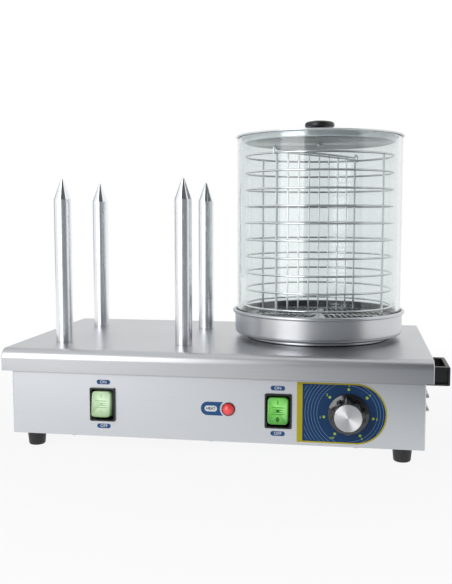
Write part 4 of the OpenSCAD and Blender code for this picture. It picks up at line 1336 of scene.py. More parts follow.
@dataclass
class BunSpikes:
    """Four pointed, heated bun spikes."""

    cone_h: float = 24.5 * MM
    tip_r: float = 1.4 * MM
    shoulder_r: float = 1.5 * MM
    foot_edge: float = 0.5 * MM
    shank_r: float = 7.5 * MM
    steps: int = 96

    def build(self) -> None:
        """Turns each spike where its solid stands."""
        cover_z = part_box("top_cover")[1].z
        tip_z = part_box("spike_front_left")[1].z - self.cone_h
        finish = GroundSteel("polished_spike", "polished_stainless", srgb(240, 242, 245), 0.25, tip_z=tip_z)
        for node in SPIKES:
            low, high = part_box(node)
            radius = (high.x - low.x) / 2
            profile = fillet([
                (0, low.z, 0), (self.shank_r, low.z, 0), (self.shank_r, cover_z, 0),
                (radius, cover_z, self.foot_edge), (radius, high.z - self.cone_h, self.shoulder_r),
                (self.tip_r, high.z - self.tip_r / 2, self.tip_r), (0, high.z, 0)], 8, closed=False)
            make(f"{node}_turned", lathe(profile, steps=self.steps), upright(middle(node)), finish,
                 "base", node, crease=40)


@dataclass
class Handles:
    """The two carrying handles on the sides."""

    foot_t: float = 4.5 * MM
    bar_t: float = 4.8 * MM
    leg_t: float = 8 * MM
    edge_r: float = 1.3 * MM
    corner_r: float = 2.6 * MM
    gap_corner_r: float = 3 * MM
    pocket_depth: float = 3 * MM
    pocket_rim: float = 2.6 * MM
    pocket_start: float = 13 * MM
    pocket_corner: float = 1.2 * MM

    def model(self) -> tuple[Mesh, Vector]:
        """The right handle, drawn about its root.

        Returns:
            Its mesh, and the place of its root at the middle of its wall face.
        """
        low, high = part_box("right_handle")
        root = Vector((low.x, (low.y + high.y) / 2, low.z))
        reach = high.x - low.x
        length = high.y - low.y
        height = high.z - low.z
        outer = Vector((reach / 2, 0))
        inner = Vector((self.foot_t + (reach - self.foot_t - self.bar_t) / 2, 0))
        gap = (reach - self.foot_t - self.bar_t, length - 2 * self.leg_t)
        edge = quarter(self.edge_r, 4)
        steps = [(inset, self.edge_r - rise) for inset, rise in reversed(edge)]
        steps += [(inset, height - self.edge_r + rise) for inset, rise in edge]
        rim = [lift([p + outer for p in soft_rect(reach, length, self.corner_r, inset)], z)
               for inset, z in steps]
        hollow = [lift([p + inner for p in soft_rect(*gap, self.gap_corner_r, -inset)], z)
                  for inset, z in reversed(steps)]
        handle = put("handle", as_mesh("handle", loft(rim + hollow, around=True)))
        pocket = (reach - self.pocket_start - self.pocket_rim, height - 2 * self.pocket_rim)
        centre_x = self.pocket_start + pocket[0] / 2
        outline = soft_rect(*pocket, self.pocket_corner)
        pockets = []
        for facing, side in ((Facing.FRONT, -1), (Facing.BACK, 1)):
            place = facing.at((centre_x, side * length / 2, height / 2))
            pockets.append(as_mesh("pocket", bar(outline, -self.pocket_depth, self.pocket_depth), place))
        cut(handle, pockets, 35)
        return taken(handle), root

    def build(self) -> None:
        """Both handles, the left one turned about."""
        mesh, root = self.model()
        for side, node in ((1, "right_handle"), (-1, "left_handle")):
            place = Matrix.Translation((side * root.x, root.y, root.z))
            turn = Matrix.Rotation(0 if side > 0 else math.pi, 4, "Z")
            shape = mesh.copy()
            shape.transform(place @ turn)
            fit(put(f"{node}_moulded", shape), "base", GRAINED, node)


@dataclass
class RearInlet:
    """The cable gland on the back."""

    hex_r: float = 12 * MM
    hex_h: float = 4 * MM
    hex_edge: float = 0.6 * MM
    root_r: float = 9.5 * MM
    mouth_r: float = 7 * MM
    bore_r: float = 4 * MM
    barrel_r: float = 8 * MM

    def build(self) -> None:
        """A hexagon flange and a tapered, bored nose."""
        low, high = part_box("cable_gland")
        back_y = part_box("back_panel")[1].y
        at = middle("cable_gland")
        place = Facing.BACK.at((at.x, back_y, at.z))
        reach = high.y - back_y
        behind = low.y - back_y
        nose = fillet([(self.bore_r, behind, 0), (self.barrel_r, behind, 0.5 * MM), (self.barrel_r, 0, 0),
                       (self.root_r, 0, 0), (self.mouth_r, reach, 1.2 * MM), (self.bore_r, reach, 0.8 * MM)])
        make("cable_gland_nose", lathe(nose, closed=True, steps=64), place, GRAINED, "base", "cable_gland")
        bore_r = self.root_r - self.hex_edge
        flange = [lift(circle(radius, 6), z) for radius, z in (
            (self.hex_r, 0), (self.hex_r, self.hex_h - self.hex_edge),
            (self.hex_r - self.hex_edge, self.hex_h), (bore_r, self.hex_h), (bore_r, 0))]
        make("cable_gland_hexagon", loft(flange, around=True), place, GRAINED, "base", crease=20)


# The steamer

@dataclass
class Steamer:
    """Water pan, glass cylinder and lid about one upright axis."""

    pan_corner_r: float = 5.5 * MM
    pan_t: float = 1 * MM
    pan_r: float = 102.4 * MM
    bead_r: float = 2.25 * MM
    bead_in: float = 1.6 * MM
    sump_r: float = 87.5 * MM
    sump_h: float = 5 * MM
    glass_t: float = 5 * MM
    rim_soft: float = 1.3 * MM
    lid_t: float = 0.8 * MM
    plug_r: float = 91.6 * MM
    hem_r: float = 1 * MM
    screw_hole_r: float = 2.3 * MM
    steps: int = 160

    def __post_init__(self) -> None:
        """Finds the axis and the finishes that are turned about it."""
        self.axis = middle("glass_cylinder")
        centre = (self.axis.x, self.axis.y)
        # Painted shade: the pan's inside and the lid's underside get a darker colour, standing in for the
        # shade inside the steamer.
        self.pan_finish = TurnedSteel("drawn_pan", "satin_stainless", srgb(203, 205, 208), 0.32, centre,
                                      dulled=Dulled.INSIDE, dulling=0.89)
        self.lid_finish = TurnedSteel("spun_lid", "satin_stainless", srgb(230, 234, 236), 0.3, centre,
                                      grain=1500.0, scatter=0.05, anisotropy=0.8, dulled=Dulled.UNDERSIDE,
                                      dulling=0.78, metal=0.62, dulled_r=self.plug_r - 1 * MM)

    def place(self) -> Matrix:
        """The steamer's axis."""
        return upright(self.axis)

    def pan(self) -> None:
        """The pan's wall with its rolled bead, round corner, ledge and sump."""
        low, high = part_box("water_pan")
        base = low.z - self.pan_t
        ledge = base + self.sump_h
        bead = (self.pan_r + self.bead_r - self.bead_in, high.z - self.bead_r)
        inner_r = self.pan_r - self.pan_t
        outer_meet = math.degrees(math.acos((self.pan_r - bead[0]) / self.bead_r))
        inner_meet = math.degrees(math.acos((inner_r - bead[0]) / self.bead_r))
        outer = fillet([(self.sump_r - self.pan_t, low.z, 0), (self.sump_r, low.z, 0.6 * MM),
                        (self.sump_r, ledge, 0.8 * MM), (self.pan_r, ledge, self.pan_corner_r),
                        (self.pan_r, bead[1] - self.bead_r, 0)], 10, closed=False)[:-1]
        rim = arc(bead, self.bead_r, -outer_meet, 360 - inner_meet, 28)
        inner = fillet([(inner_r, bead[1] - self.bead_r, 0),
                        (inner_r, ledge + self.pan_t, self.pan_corner_r - self.pan_t),
                        (self.sump_r - self.pan_t, ledge + self.pan_t, 0.4 * MM),
                        (self.sump_r - self.pan_t, low.z, 0)], 10, closed=False)[1:-1]
        make("water_pan_drawn", lathe(outer + rim + inner, True, self.steps), self.place(), self.pan_finish,
             "base", "water_pan", crease=40)

    def glass(self) -> None:
        """The glass wall with softened rims."""
        low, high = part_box("glass_cylinder")
        radius = (high.x - low.x) / 2
        inner = radius - self.glass_t
        profile = fillet([(inner, low.z, self.rim_soft), (radius, low.z, self.rim_soft),
                          (radius, high.z, self.rim_soft), (inner, high.z, self.rim_soft)], 5)
        glass = make("glass_cylinder_wall", lathe(profile, True, self.steps), self.place(), GLASS, "glass",
                     "glass_cylinder", crease=60)
        glass.visible_shadow = False

    def lid(self) -> None:
        """The lid's plug, rim and rolled hem."""
        low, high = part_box("lid_pan")
        rim_r = (high.x - low.x) / 2
        rim_z = high.z - 2 * self.hem_r
        under = low.z
        hem = (rim_r - self.hem_r, rim_z + self.hem_r)
        hole = self.screw_hole_r
        lower = fillet([(hole, under, 0), (self.plug_r, under, 3 * MM), (self.plug_r, rim_z, 1 * MM),
                        (hem[0], rim_z, 0)], 6, closed=False)
        upper = fillet([(hem[0] - self.hem_r, rim_z + self.lid_t, 0),
                        (self.plug_r - self.lid_t, rim_z + self.lid_t, 1.8 * MM),
                        (self.plug_r - self.lid_t, under + self.lid_t, 2.2 * MM),
                        (hole, under + self.lid_t, 0)], 6, closed=False)
        make("lid_pan_spun", lathe(lower[:-1] + arc(hem, self.hem_r, -90, 190, 14) + upper, True, self.steps),
             self.place(), self.lid_finish, "lid", "lid_pan", crease=45)

    def knob(self) -> None:
        """The lid's mushroom knob."""
        low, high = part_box("lid_knob")
        radius = (high.x - low.x) / 2
        height = high.z - low.z
        profile = fillet([
            (2.1 * MM, 0, 0), (radius * 0.6, 0, 0.4 * MM), (radius * 0.6, 2 * MM, 1 * MM),
            (radius * 0.44, 5 * MM, 3 * MM), (radius * 0.44, 9.5 * MM, 4 * MM),
            (radius * 0.78, height * 0.71, 3 * MM), (radius, height * 0.71, 3.6 * MM),
            (radius, height * 0.93, 3.6 * MM), (radius * 0.5, height * 0.992, 12 * MM), (0, height, 0)], 8,
            closed=False)
        make("lid_knob_moulded", lathe(profile, steps=96), upright(self.axis, low.z), KNOB, "lid", "lid_knob",
             crease=45)

    def build(self) -> None:
        """Builds the pan, the glass and the lid."""
        self.pan()
        self.glass()
        self.lid()
        self.knob()


@dataclass
class Basket:
    """The wire basket with its divider, lifting rail and perforated floor."""

    ring_count: int = 10
    ring_pitch: float = 20 * MM
    ring_wire_r: float = 1.2 * MM
    post_wire_r: float = 1.5 * MM
    divider_wire_r: float = 1.1 * MM
    divider_wires: int = 7
    weld_gap: float = 0.05 * MM
    rail_up: float = 4 * MM
    low_rail_up: float = 1 * MM
    hook_r: float = 3.2 * MM
    hook_drop: float = 6 * MM
    hook_soft: float = 1.6 * MM
    divider_angle: float = -120.0
    floor_t: float = 0.8 * MM
    slot_w: float = 5.1 * MM
    slot_len: float = 30 * MM
    skirt_edge: float = 0.2 * MM
    slot_pitch: float = 6.8 * MM
    slot_start: float = 0.75
    slot_lean: float = 10.0
    slot_rows: tuple[float, ...] = (-60 * MM, -24 * MM, 12 * MM, 48 * MM)
    slot_field_r: float = 87 * MM

    def __post_init__(self) -> None:
        """Takes the basket's radii and heights from its solids."""
        low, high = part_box("basket_rings")
        self.axis = (low + high) / 2
        self.ring_r = (high.x - low.x) / 2 - self.ring_wire_r
        self.low_ring_z = low.z + self.ring_wire_r
        self.top_ring_z = high.z - self.ring_wire_r
        self.post_r = self.ring_r - self.ring_wire_r - self.post_wire_r - self.weld_gap
        self.post_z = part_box("basket_posts")
        floor_low, floor_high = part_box("basket_floor")
        self.floor_r = (floor_high.x - floor_low.x) / 2
        self.floor_z = (floor_low.z, floor_high.z)
        turn = Matrix.Rotation(math.radians(self.divider_angle), 4, "Z")
        self.divider = upright(self.axis) @ turn
        centre = (self.axis.x, self.axis.y)
        # Painted shade: all faces of the floor but its upper ones, the slot walls and the underside, get a
        # darker colour.
        self.floor_finish = TurnedSteel("steamed_floor", "satin_stainless", srgb(196, 199, 200), 0.25, centre,
                                        dulled=Dulled.BELOW_TOP, dulling=0.88)
        self.skirt_finish = TurnedSteel("steamed_skirt", "satin_stainless", srgb(186, 189, 190), 0.3, centre)

    def rings(self) -> None:
        """Ten rings stacked at one pitch."""
        tree = ShapeTree("ring_stack")
        radius = tree.size("Ring radius", Socket.LENGTH, self.ring_r)
        thick = tree.size("Wire radius", Socket.LENGTH, self.ring_wire_r)
        count = tree.size("Rings", Socket.COUNT, self.ring_count)
        pitch = tree.size("Pitch", Socket.LENGTH, self.ring_pitch)
        start = tree.size("Lowest ring", Socket.PLACE, (self.axis.x, self.axis.y, self.low_ring_z))
        path = tree.add("GeometryNodeCurvePrimitiveCircle", {"Resolution": 128, "Radius": radius})
        ring = tree.round_wire(path.outputs["Curve"], thick)
        stack = tree.row(ring, count, start, tree.vector(z=pitch))
        tree.realise("basket_ring_stack", stack, WIRE, "basket", "basket_rings", crease=60)

    def posts(self) -> None:
        """Four posts inside the rings, two of them in line with the divider."""
        shape = wire([Vector((0, 0, end.z)) for end in self.post_z], self.post_wire_r)
        spots = []
        for k in range(4):
            angle = math.radians(self.divider_angle + 90 * k)
            spots.append((self.axis.x + self.post_r * math.cos(angle),
                          self.axis.y + self.post_r * math.sin(angle), 0))
        Copies("basket_post_wires", shape, spots).build(WIRE, "basket", "basket_posts")

    def uprights(self) -> None:
        """The divider's uprights and the rail that ties them below their tops."""
        step = 2 * self.post_r / (self.divider_wires + 1)
        top = self.top_ring_z + self.rail_up - self.divider_wire_r - self.weld_gap
        tree = ShapeTree("basket_divider_wires_row")
        wires = tree.size("Wires", Socket.COUNT, self.divider_wires)
        first = tree.size("First wire", Socket.LENGTH, step - self.post_r)
        pitch = tree.size("Pitch", Socket.LENGTH, step)
        thick = tree.size("Wire radius", Socket.LENGTH, self.divider_wire_r)
        low = tree.size("Lower end", Socket.LENGTH, self.post_z[0].z)
        high = tree.size("Upper end", Socket.LENGTH, top)
        line = tree.add("GeometryNodeCurvePrimitiveLine", {
            "Start": tree.vector(z=low), "End": tree.vector(z=high)})
        rod = tree.round_wire(line.outputs["Curve"], thick)
        row = tree.row(rod, wires, tree.vector(x=first), tree.vector(x=pitch))
        tree.realise("basket_divider_wires", row, WIRE, "basket", "basket_divider", place=self.divider,
                     crease=60)
        reach = self.post_r - 2 * self.post_wire_r
        side = 2 * self.divider_wire_r + self.weld_gap
        level = self.top_ring_z + self.low_rail_up
        self.rail("basket_divider_rail", [Vector((-reach, side, level)), Vector((reach, side, level))])

    def rail(self, name: str, path: Sequence[Vector], *nodes: str) -> None:
        """One wire along the divider.

        Args:
            name: The piece's name.
            path: Its middle line, drawn about the basket's axis.
            nodes: The solids that it stands for.
        """
        shape = wire(path, self.divider_wire_r)
        shape.transform(self.divider)
        fit(put(name, shape), "basket", WIRE, *nodes)

    def hooks(self) -> None:
        """The lifting rail, bent over the top ring at both ends."""
        level = self.top_ring_z + self.rail_up
        outer, inner = self.ring_r + self.hook_r, self.ring_r - self.hook_r
        over = [(p.x, p.y, 0.0) for p in arc((self.ring_r, level), self.hook_r, 0, 150, 10)]
        half = [(outer, level - self.hook_drop, 0.0), *over, (inner, level, self.hook_soft)]
        other = [(-x, z, soft) for x, z, soft in reversed(half)]
        path = fillet(half + other, 6, closed=False)
        self.rail("basket_lifting_rail", [Vector((p.x, 0, p.y)) for p in path], "basket_hooks")

    def floor(self) -> None:
        """The perforated floor and its turned-down skirt."""
        low, high = self.floor_z
        tree = ShapeTree("slotted_disc")
        radius = tree.size("Disc radius", Socket.LENGTH, self.floor_r)
        thick = tree.size("Thickness", Socket.LENGTH, self.floor_t)
        width = tree.size("Slot width", Socket.LENGTH, self.slot_w)
        length = tree.size("Slot length", Socket.LENGTH, self.slot_len)
        pitch = tree.size("Slot pitch", Socket.LENGTH, self.slot_pitch)
        lean = tree.size("Slot lean", Socket.LENGTH, math.radians(self.slot_lean))
        centre = tree.size("Middle", Socket.PLACE, (self.axis.x, self.axis.y, high - self.floor_t / 2))
        disc = tree.add("GeometryNodeMeshCylinder", {"Vertices": 160, "Radius": radius, "Depth": thick})
        slot = tree.add("GeometryNodeMeshCube", {"Size": tree.vector(width, length, 4 * self.floor_t)})
        cutters = tree.add("GeometryNodeJoinGeometry")
        for row, depth in enumerate(self.slot_rows):
            chord = math.sqrt(self.slot_field_r ** 2 - (abs(depth) + self.slot_len / 2) ** 2)
            count = tree.size(f"Row {row} slots", Socket.COUNT, int(chord / self.slot_pitch - 0.5))
            along = tree.size(f"Row {row} depth", Socket.LENGTH, depth)
            for side in (-1.0, 1.0):
                start = tree.vector(tree.math("MULTIPLY", pitch, self.slot_start * side), along)
                step = tree.vector(tree.math("MULTIPLY", pitch, side))
                run = tree.row(slot.outputs["Mesh"], count, start, step, tree.math("MULTIPLY", lean, side))
                tree.tree.links.new(run, cutters.inputs["Geometry"])
        solid = tree.add("GeometryNodeRealizeInstances", {"Geometry": cutters.outputs["Geometry"]})
        pierced = tree.add("GeometryNodeMeshBoolean", {
            "Mesh 1": disc.outputs["Mesh"], "Mesh 2": solid.outputs["Geometry"]}, operation="DIFFERENCE")
        moved = tree.add("GeometryNodeTransform", {
            "Geometry": pierced.outputs["Mesh"], "Translation": centre})
        tree.realise("basket_floor_disc", moved.outputs["Geometry"], self.floor_finish, "basket",
                     "basket_floor")
        inner = self.floor_r - self.floor_t
        top = high - self.floor_t
        skirt = fillet([(inner, low, self.skirt_edge), (self.floor_r, low, self.skirt_edge),
                        (self.floor_r, top, 0), (inner, top, 0)])
        make("basket_floor_skirt", lathe(skirt, True, 160), upright(self.axis), self.skirt_finish, "basket")

    def build(self) -> None:
        """Builds the wires and the floor."""
        self.rings()
        self.posts()
        self.uprights()
        self.hooks()
        self.floor()


# The controls

@dataclass
class RockerSwitch:
    """One lit rocker switch: its case with the bezel, its rocker and the marks on it."""

    side: str
    bright: Colour
    edge: Colour
    glow: float
    mark: Colour
    rib: Colour
    tilt: float = 9.0
    case_inset: float = 1.4 * MM
    bezel_corner: float = 1.8 * MM
    bezel_edge: float = 0.9 * MM
    lip: float = 1.1 * MM
    lip_drop: float = 1.1 * MM
    wall: float = 1.2 * MM
    well_corner: float = 2 * MM
    well_depth: float = 13 * MM
    rocker_w: float = 22 * MM
    rocker_h: float = 28.8 * MM
    rocker_corner: float = 4 * MM
    rocker_out: float = 10.6 * MM
    rocker_back: float = 1 * MM
    rocker_dish: float = 1.6 * MM
    dish_share: float = 0.4
    dish_curve: float = 1.7
    rocker_edge: float = 1.2 * MM
    face_shares: tuple[float, ...] = (0.85, 0.7, 0.55, 0.4, 0.25, 0.12)
    rib_pitch: float = 2.4 * MM
    ribs: int = 4
    rib_r: float = 0.5 * MM
    rib_inset: float = 3 * MM
    rib_proud: float = 0.1 * MM
    lamp_up: float = 5 * MM
    mark_up: float = 9 * MM
    line_size: tuple[float, float, float] = (0.9 * MM, 4.6 * MM, 0.4 * MM)
    oval_r: float = 2.6 * MM
    oval_share: float = 0.72
    dot_r: float = 1.7 * MM
    dot_proud: float = 0.7 * MM
    ink_proud: float = 0.06 * MM
    ink_sunk: float = 0.3 * MM

    def case(self) -> None:
        """The case behind the panel, the bezel in front of it and the well for the rocker."""
        node = f"{self.side}_switch_case"
        low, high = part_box(node)
        panel_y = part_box("control_panel")[0].y
        at = middle(node)
        width, height = high.x - low.x, high.z - low.z
        front, behind = panel_y - low.y, panel_y - high.y
        case = (width - 2 * self.case_inset, height - 2 * self.case_inset)
        well = (case[0] - 2 * self.wall, case[1] - 2 * self.wall, self.well_corner)
        shell = soft_rect(*case, self.bezel_corner)
        loops = [lift(shell, behind), lift(shell, 0), lift(soft_rect(width, height, self.bezel_corner), 0)]
        for inset, rise in quarter(self.bezel_edge):
            outline = soft_rect(width, height, self.bezel_corner, inset)
            loops.append(lift(outline, front - self.bezel_edge + rise))
        loops += [lift(soft_rect(*well, -self.lip), front), lift(soft_rect(*well), front - self.lip_drop),
                  lift(soft_rect(*well), -self.well_depth)]
        place = Facing.FRONT.at((at.x, panel_y, at.z))
        make(f"{node}_moulded", loft(loops), place, GLOSS, "base", node, crease=30)

    def front(self, point: Vector) -> float:
        """How far the rocker's dished face stands out at a point."""
        rise = min(1.0, abs(point.y) / (self.dish_share * self.rocker_h))
        return self.rocker_out - self.rocker_dish * (1 - rise ** self.dish_curve)

    def place(self) -> Matrix:
        """The rocker's pivot, tilted to the end of its travel where the upper half is pressed in.

        Returns:
            The matrix that carries a piece drawn about the origin there.
        """
        pivot = Matrix.Translation(joint_place(f"{self.side}_rocker_tilt"))
        tilt = Matrix.Rotation(math.radians(-self.tilt), 4, "X")
        return pivot @ tilt @ Facing.FRONT.at((0, 0, 0))

    def rocker(self) -> None:
        """The rocker's body, in the finish that its lamp gives it."""
        pivot = joint_place(f"{self.side}_rocker_tilt")
        glow_at = pivot + Vector((0, 2 * MM - self.rocker_out, self.lamp_up))
        finish = LitPlastic(f"{self.side}_rocker_plastic", "green_plastic", self.bright, 0.3, self.edge,
                            tuple(glow_at), 20 * MM, self.glow)
        size = (self.rocker_w, self.rocker_h, self.rocker_corner)
        loops = [lift(soft_rect(*size, steps=6), -self.rocker_back)]
        for inset, rise in quarter(self.rocker_edge):
            loops.append(self.on_face(soft_rect(*size, inset, 6), rise - self.rocker_edge))
        rim = loops[-1]
        for share in self.face_shares:
            loops.append(self.on_face([p.xy * share for p in rim]))
        loops.append(self.on_face([Vector((0, 0))]))
        node = f"{self.side}_rocker"
        make(f"{node}_moulded", loft(loops), self.place(), finish, node, node, crease=50)

    def on_face(self, outline: Loop, proud: float = 0.0) -> Loop:
        """An outline laid on the rocker's face."""
        return lift(outline, lambda p: self.front(p) + proud)

    def marks(self) -> None:
        """Ribs across the middle, with a dot on them and the marks of the two ends."""
        body = f"{self.side}_rocker"
        finish = Ink(f"{body}_rib", "green_plastic", self.rib, 0.35)
        half = self.rocker_w / 2 - self.rib_inset
        rib = wire([Vector((-half, 0, 0)), Vector((half, 0, 0))], self.rib_r)
        spots = []
        for i in range(self.ribs):
            up = (i - (self.ribs - 1) / 2) * self.rib_pitch
            spots.append((0, up, self.front(Vector((0, up))) + self.rib_proud))
        Copies(f"{body}_ribs", rib, spots).build(finish, body, place=self.place())
        ink = Ink(f"{self.side}_rocker_mark", "green_plastic", self.mark, 0.4)
        line = soft_rect(*self.line_size)
        oval = [Vector((p.x * self.oval_share, p.y)) for p in circle(self.oval_r, 32)]
        for word, outline, up, proud in (("line", line, self.mark_up, self.ink_proud),
                                         ("dot", circle(self.dot_r, 32), 0, self.dot_proud),
                                         ("oval", oval, -self.mark_up, self.ink_proud)):
            moved = [p + Vector((0, up)) for p in outline]
            shape = loft([self.on_face(moved, -self.ink_sunk), self.on_face(moved, proud)])
            make(f"{body}_{word}_mark", shape, self.place(), ink, body)

    def build(self) -> None:
        """Builds the case, the rocker and its marks."""
        self.case()
        self.rocker()
        self.marks()


@dataclass
class HeatLamp:
    """The red heating lamp: its flange and its domed lens."""

    flange_t: float = 1.8 * MM
    seat: float = 1 * MM
    rim: float = 0.7 * MM
    lens_gap: float = 0.2 * MM
    back_edge: float = 0.2 * MM
    front_edge: float = 0.7 * MM
    mouth_edge: float = 0.3 * MM
    barrel_r: float = 5 * MM

    def build(self) -> None:
        """Turns the holder and the lens."""
        low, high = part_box("lamp_holder")
        radius = (high.x - low.x) / 2
        panel_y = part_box("control_panel")[0].y
        at = middle("lamp_holder")
        place = Facing.FRONT.at((at.x, panel_y, at.z))
        behind = panel_y - high.y
        lens_low, lens_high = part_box("lamp_lens")
        lens_r = radius - self.rim
        mouth_r = lens_r + self.lens_gap
        seat_z = self.flange_t - self.seat
        holder = fillet([(0, behind, 0), (self.barrel_r, behind, 0), (self.barrel_r, 0, 0),
                         (radius, 0, self.back_edge), (radius, self.flange_t, self.front_edge),
                         (mouth_r, self.flange_t, self.mouth_edge), (mouth_r, seat_z, 0), (0, seat_z, 0)],
                        6, closed=False)
        make("lamp_holder_turned", lathe(holder, steps=64), place, GRAINED, "base", "lamp_holder")
        rise = lens_high.y - lens_low.y - self.seat
        ball_r = (lens_r ** 2 + rise ** 2) / (2 * rise)
        centre_z = self.flange_t + rise - ball_r
        edge = math.degrees(math.asin((ball_r - rise) / ball_r))
        dome = [Vector((0, seat_z)), Vector((lens_r, seat_z)), *arc((0, centre_z), ball_r, edge, 90, 16)]
        dome[-1] = Vector((0, dome[-1].y))
        finish = LitPlastic("lamp_red", "red_plastic", srgb(250, 86, 90), 0.16, srgb(205, 36, 40),
                            (at.x, panel_y - 4 * MM, at.z), 9 * MM, 0.25)
        make("lamp_lens_moulded", lathe(dome, steps=64), place, finish, "base", "lamp_lens", crease=30)


@dataclass
class Dial:
    """The thermostat's knob: a skirt, a fluted grip and a spun metal cap."""

    grip_r: float = 18.2 * MM
    taper: float = 0.8 * MM
    skirt_h: float = 4.5 * MM
    flutes: int = 10
    flute_r: float = 4.6 * MM
    flute_depth: float = 2.1 * MM
    skirt_edge: float = 2 * MM
    skirt_slope: float = 5.6 * MM
    skirt_wall: float = 2.5 * MM
    hollow_h: float = 3 * MM
    bore_r: float = 3.1 * MM
    edge_r: float = 1.2 * MM
    cap_gap: float = 0.15 * MM
    cap_seat: float = 1.4 * MM
    steps: int = 240

    def grip_outline(self, radius: float) -> Loop:
        """The fluted outline of the grip.

        Args:
            radius: The grip's radius between the flutes.

        Returns:
            The outline.
        """
        out: Loop = []
        reach = radius + self.flute_r - self.flute_depth
        pitch = math.tau / self.flutes
        for k in range(self.steps):
            angle = math.tau * k / self.steps
            off = (angle + pitch / 2) % pitch - pitch / 2
            inside = self.flute_r ** 2 - (reach * math.sin(off)) ** 2
            hollow = reach * math.cos(off) - math.sqrt(inside) if inside > 0 else radius
            r = min(radius, hollow)
            out.append(Vector((r * math.cos(angle), r * math.sin(angle))))
        return out

    def build(self) -> None:
        """Turns the skirt and the cap and skins the grip."""
        low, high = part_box("dial_knob")
        at = joint_place("dial_turn")
        place = Facing.FRONT.at((at.x, high.y, at.z))
        radius = (high.x - low.x) / 2
        height = high.y - low.y
        inner_r = radius - self.skirt_wall
        skirt = fillet([(self.bore_r, self.hollow_h, 0), (inner_r, self.hollow_h, 0.3 * MM),
                        (inner_r, 0, 0), (radius, 0, 0.3 * MM), (radius, self.skirt_edge, 0.5 * MM),
                        (radius - self.skirt_slope, self.skirt_h, 0.3 * MM), (self.bore_r, self.skirt_h, 0)])
        make("dial_skirt_moulded", lathe(skirt, True, 128), place, DIAL_BLACK, "dial", "dial_knob")
        cap_low, cap_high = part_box("dial_cap")
        cap_r = (cap_high.x - cap_low.x) / 2
        loops = [lift(self.grip_outline(self.grip_r + self.taper), self.skirt_h - 0.2 * MM)]
        for inset, rise in quarter(self.edge_r):
            loops.append(lift(self.grip_outline(self.grip_r - inset), height - self.edge_r + rise))
        seat = circle(cap_r + self.cap_gap, self.steps)
        loops += [lift(seat, height), lift(seat, height - self.cap_seat)]
        make("dial_grip_moulded", loft(loops), place, DIAL_BLACK, "dial")
        centre = Facing.FRONT.at((at.x, cap_low.y, at.z))
        depth = cap_high.y - cap_low.y
        cap = fillet([(0, -depth, 0), (cap_r, -depth, 0), (cap_r, 0, 0.5 * MM), (0, 0, 0)], 5, closed=False)
        finish = SpunCap("spun_cap", "plain_aluminium", srgb(222, 224, 226), 0.4, (at.x, at.z))
        make("dial_cap_spun", lathe(cap, steps=96), centre, finish, "dial", "dial_cap")


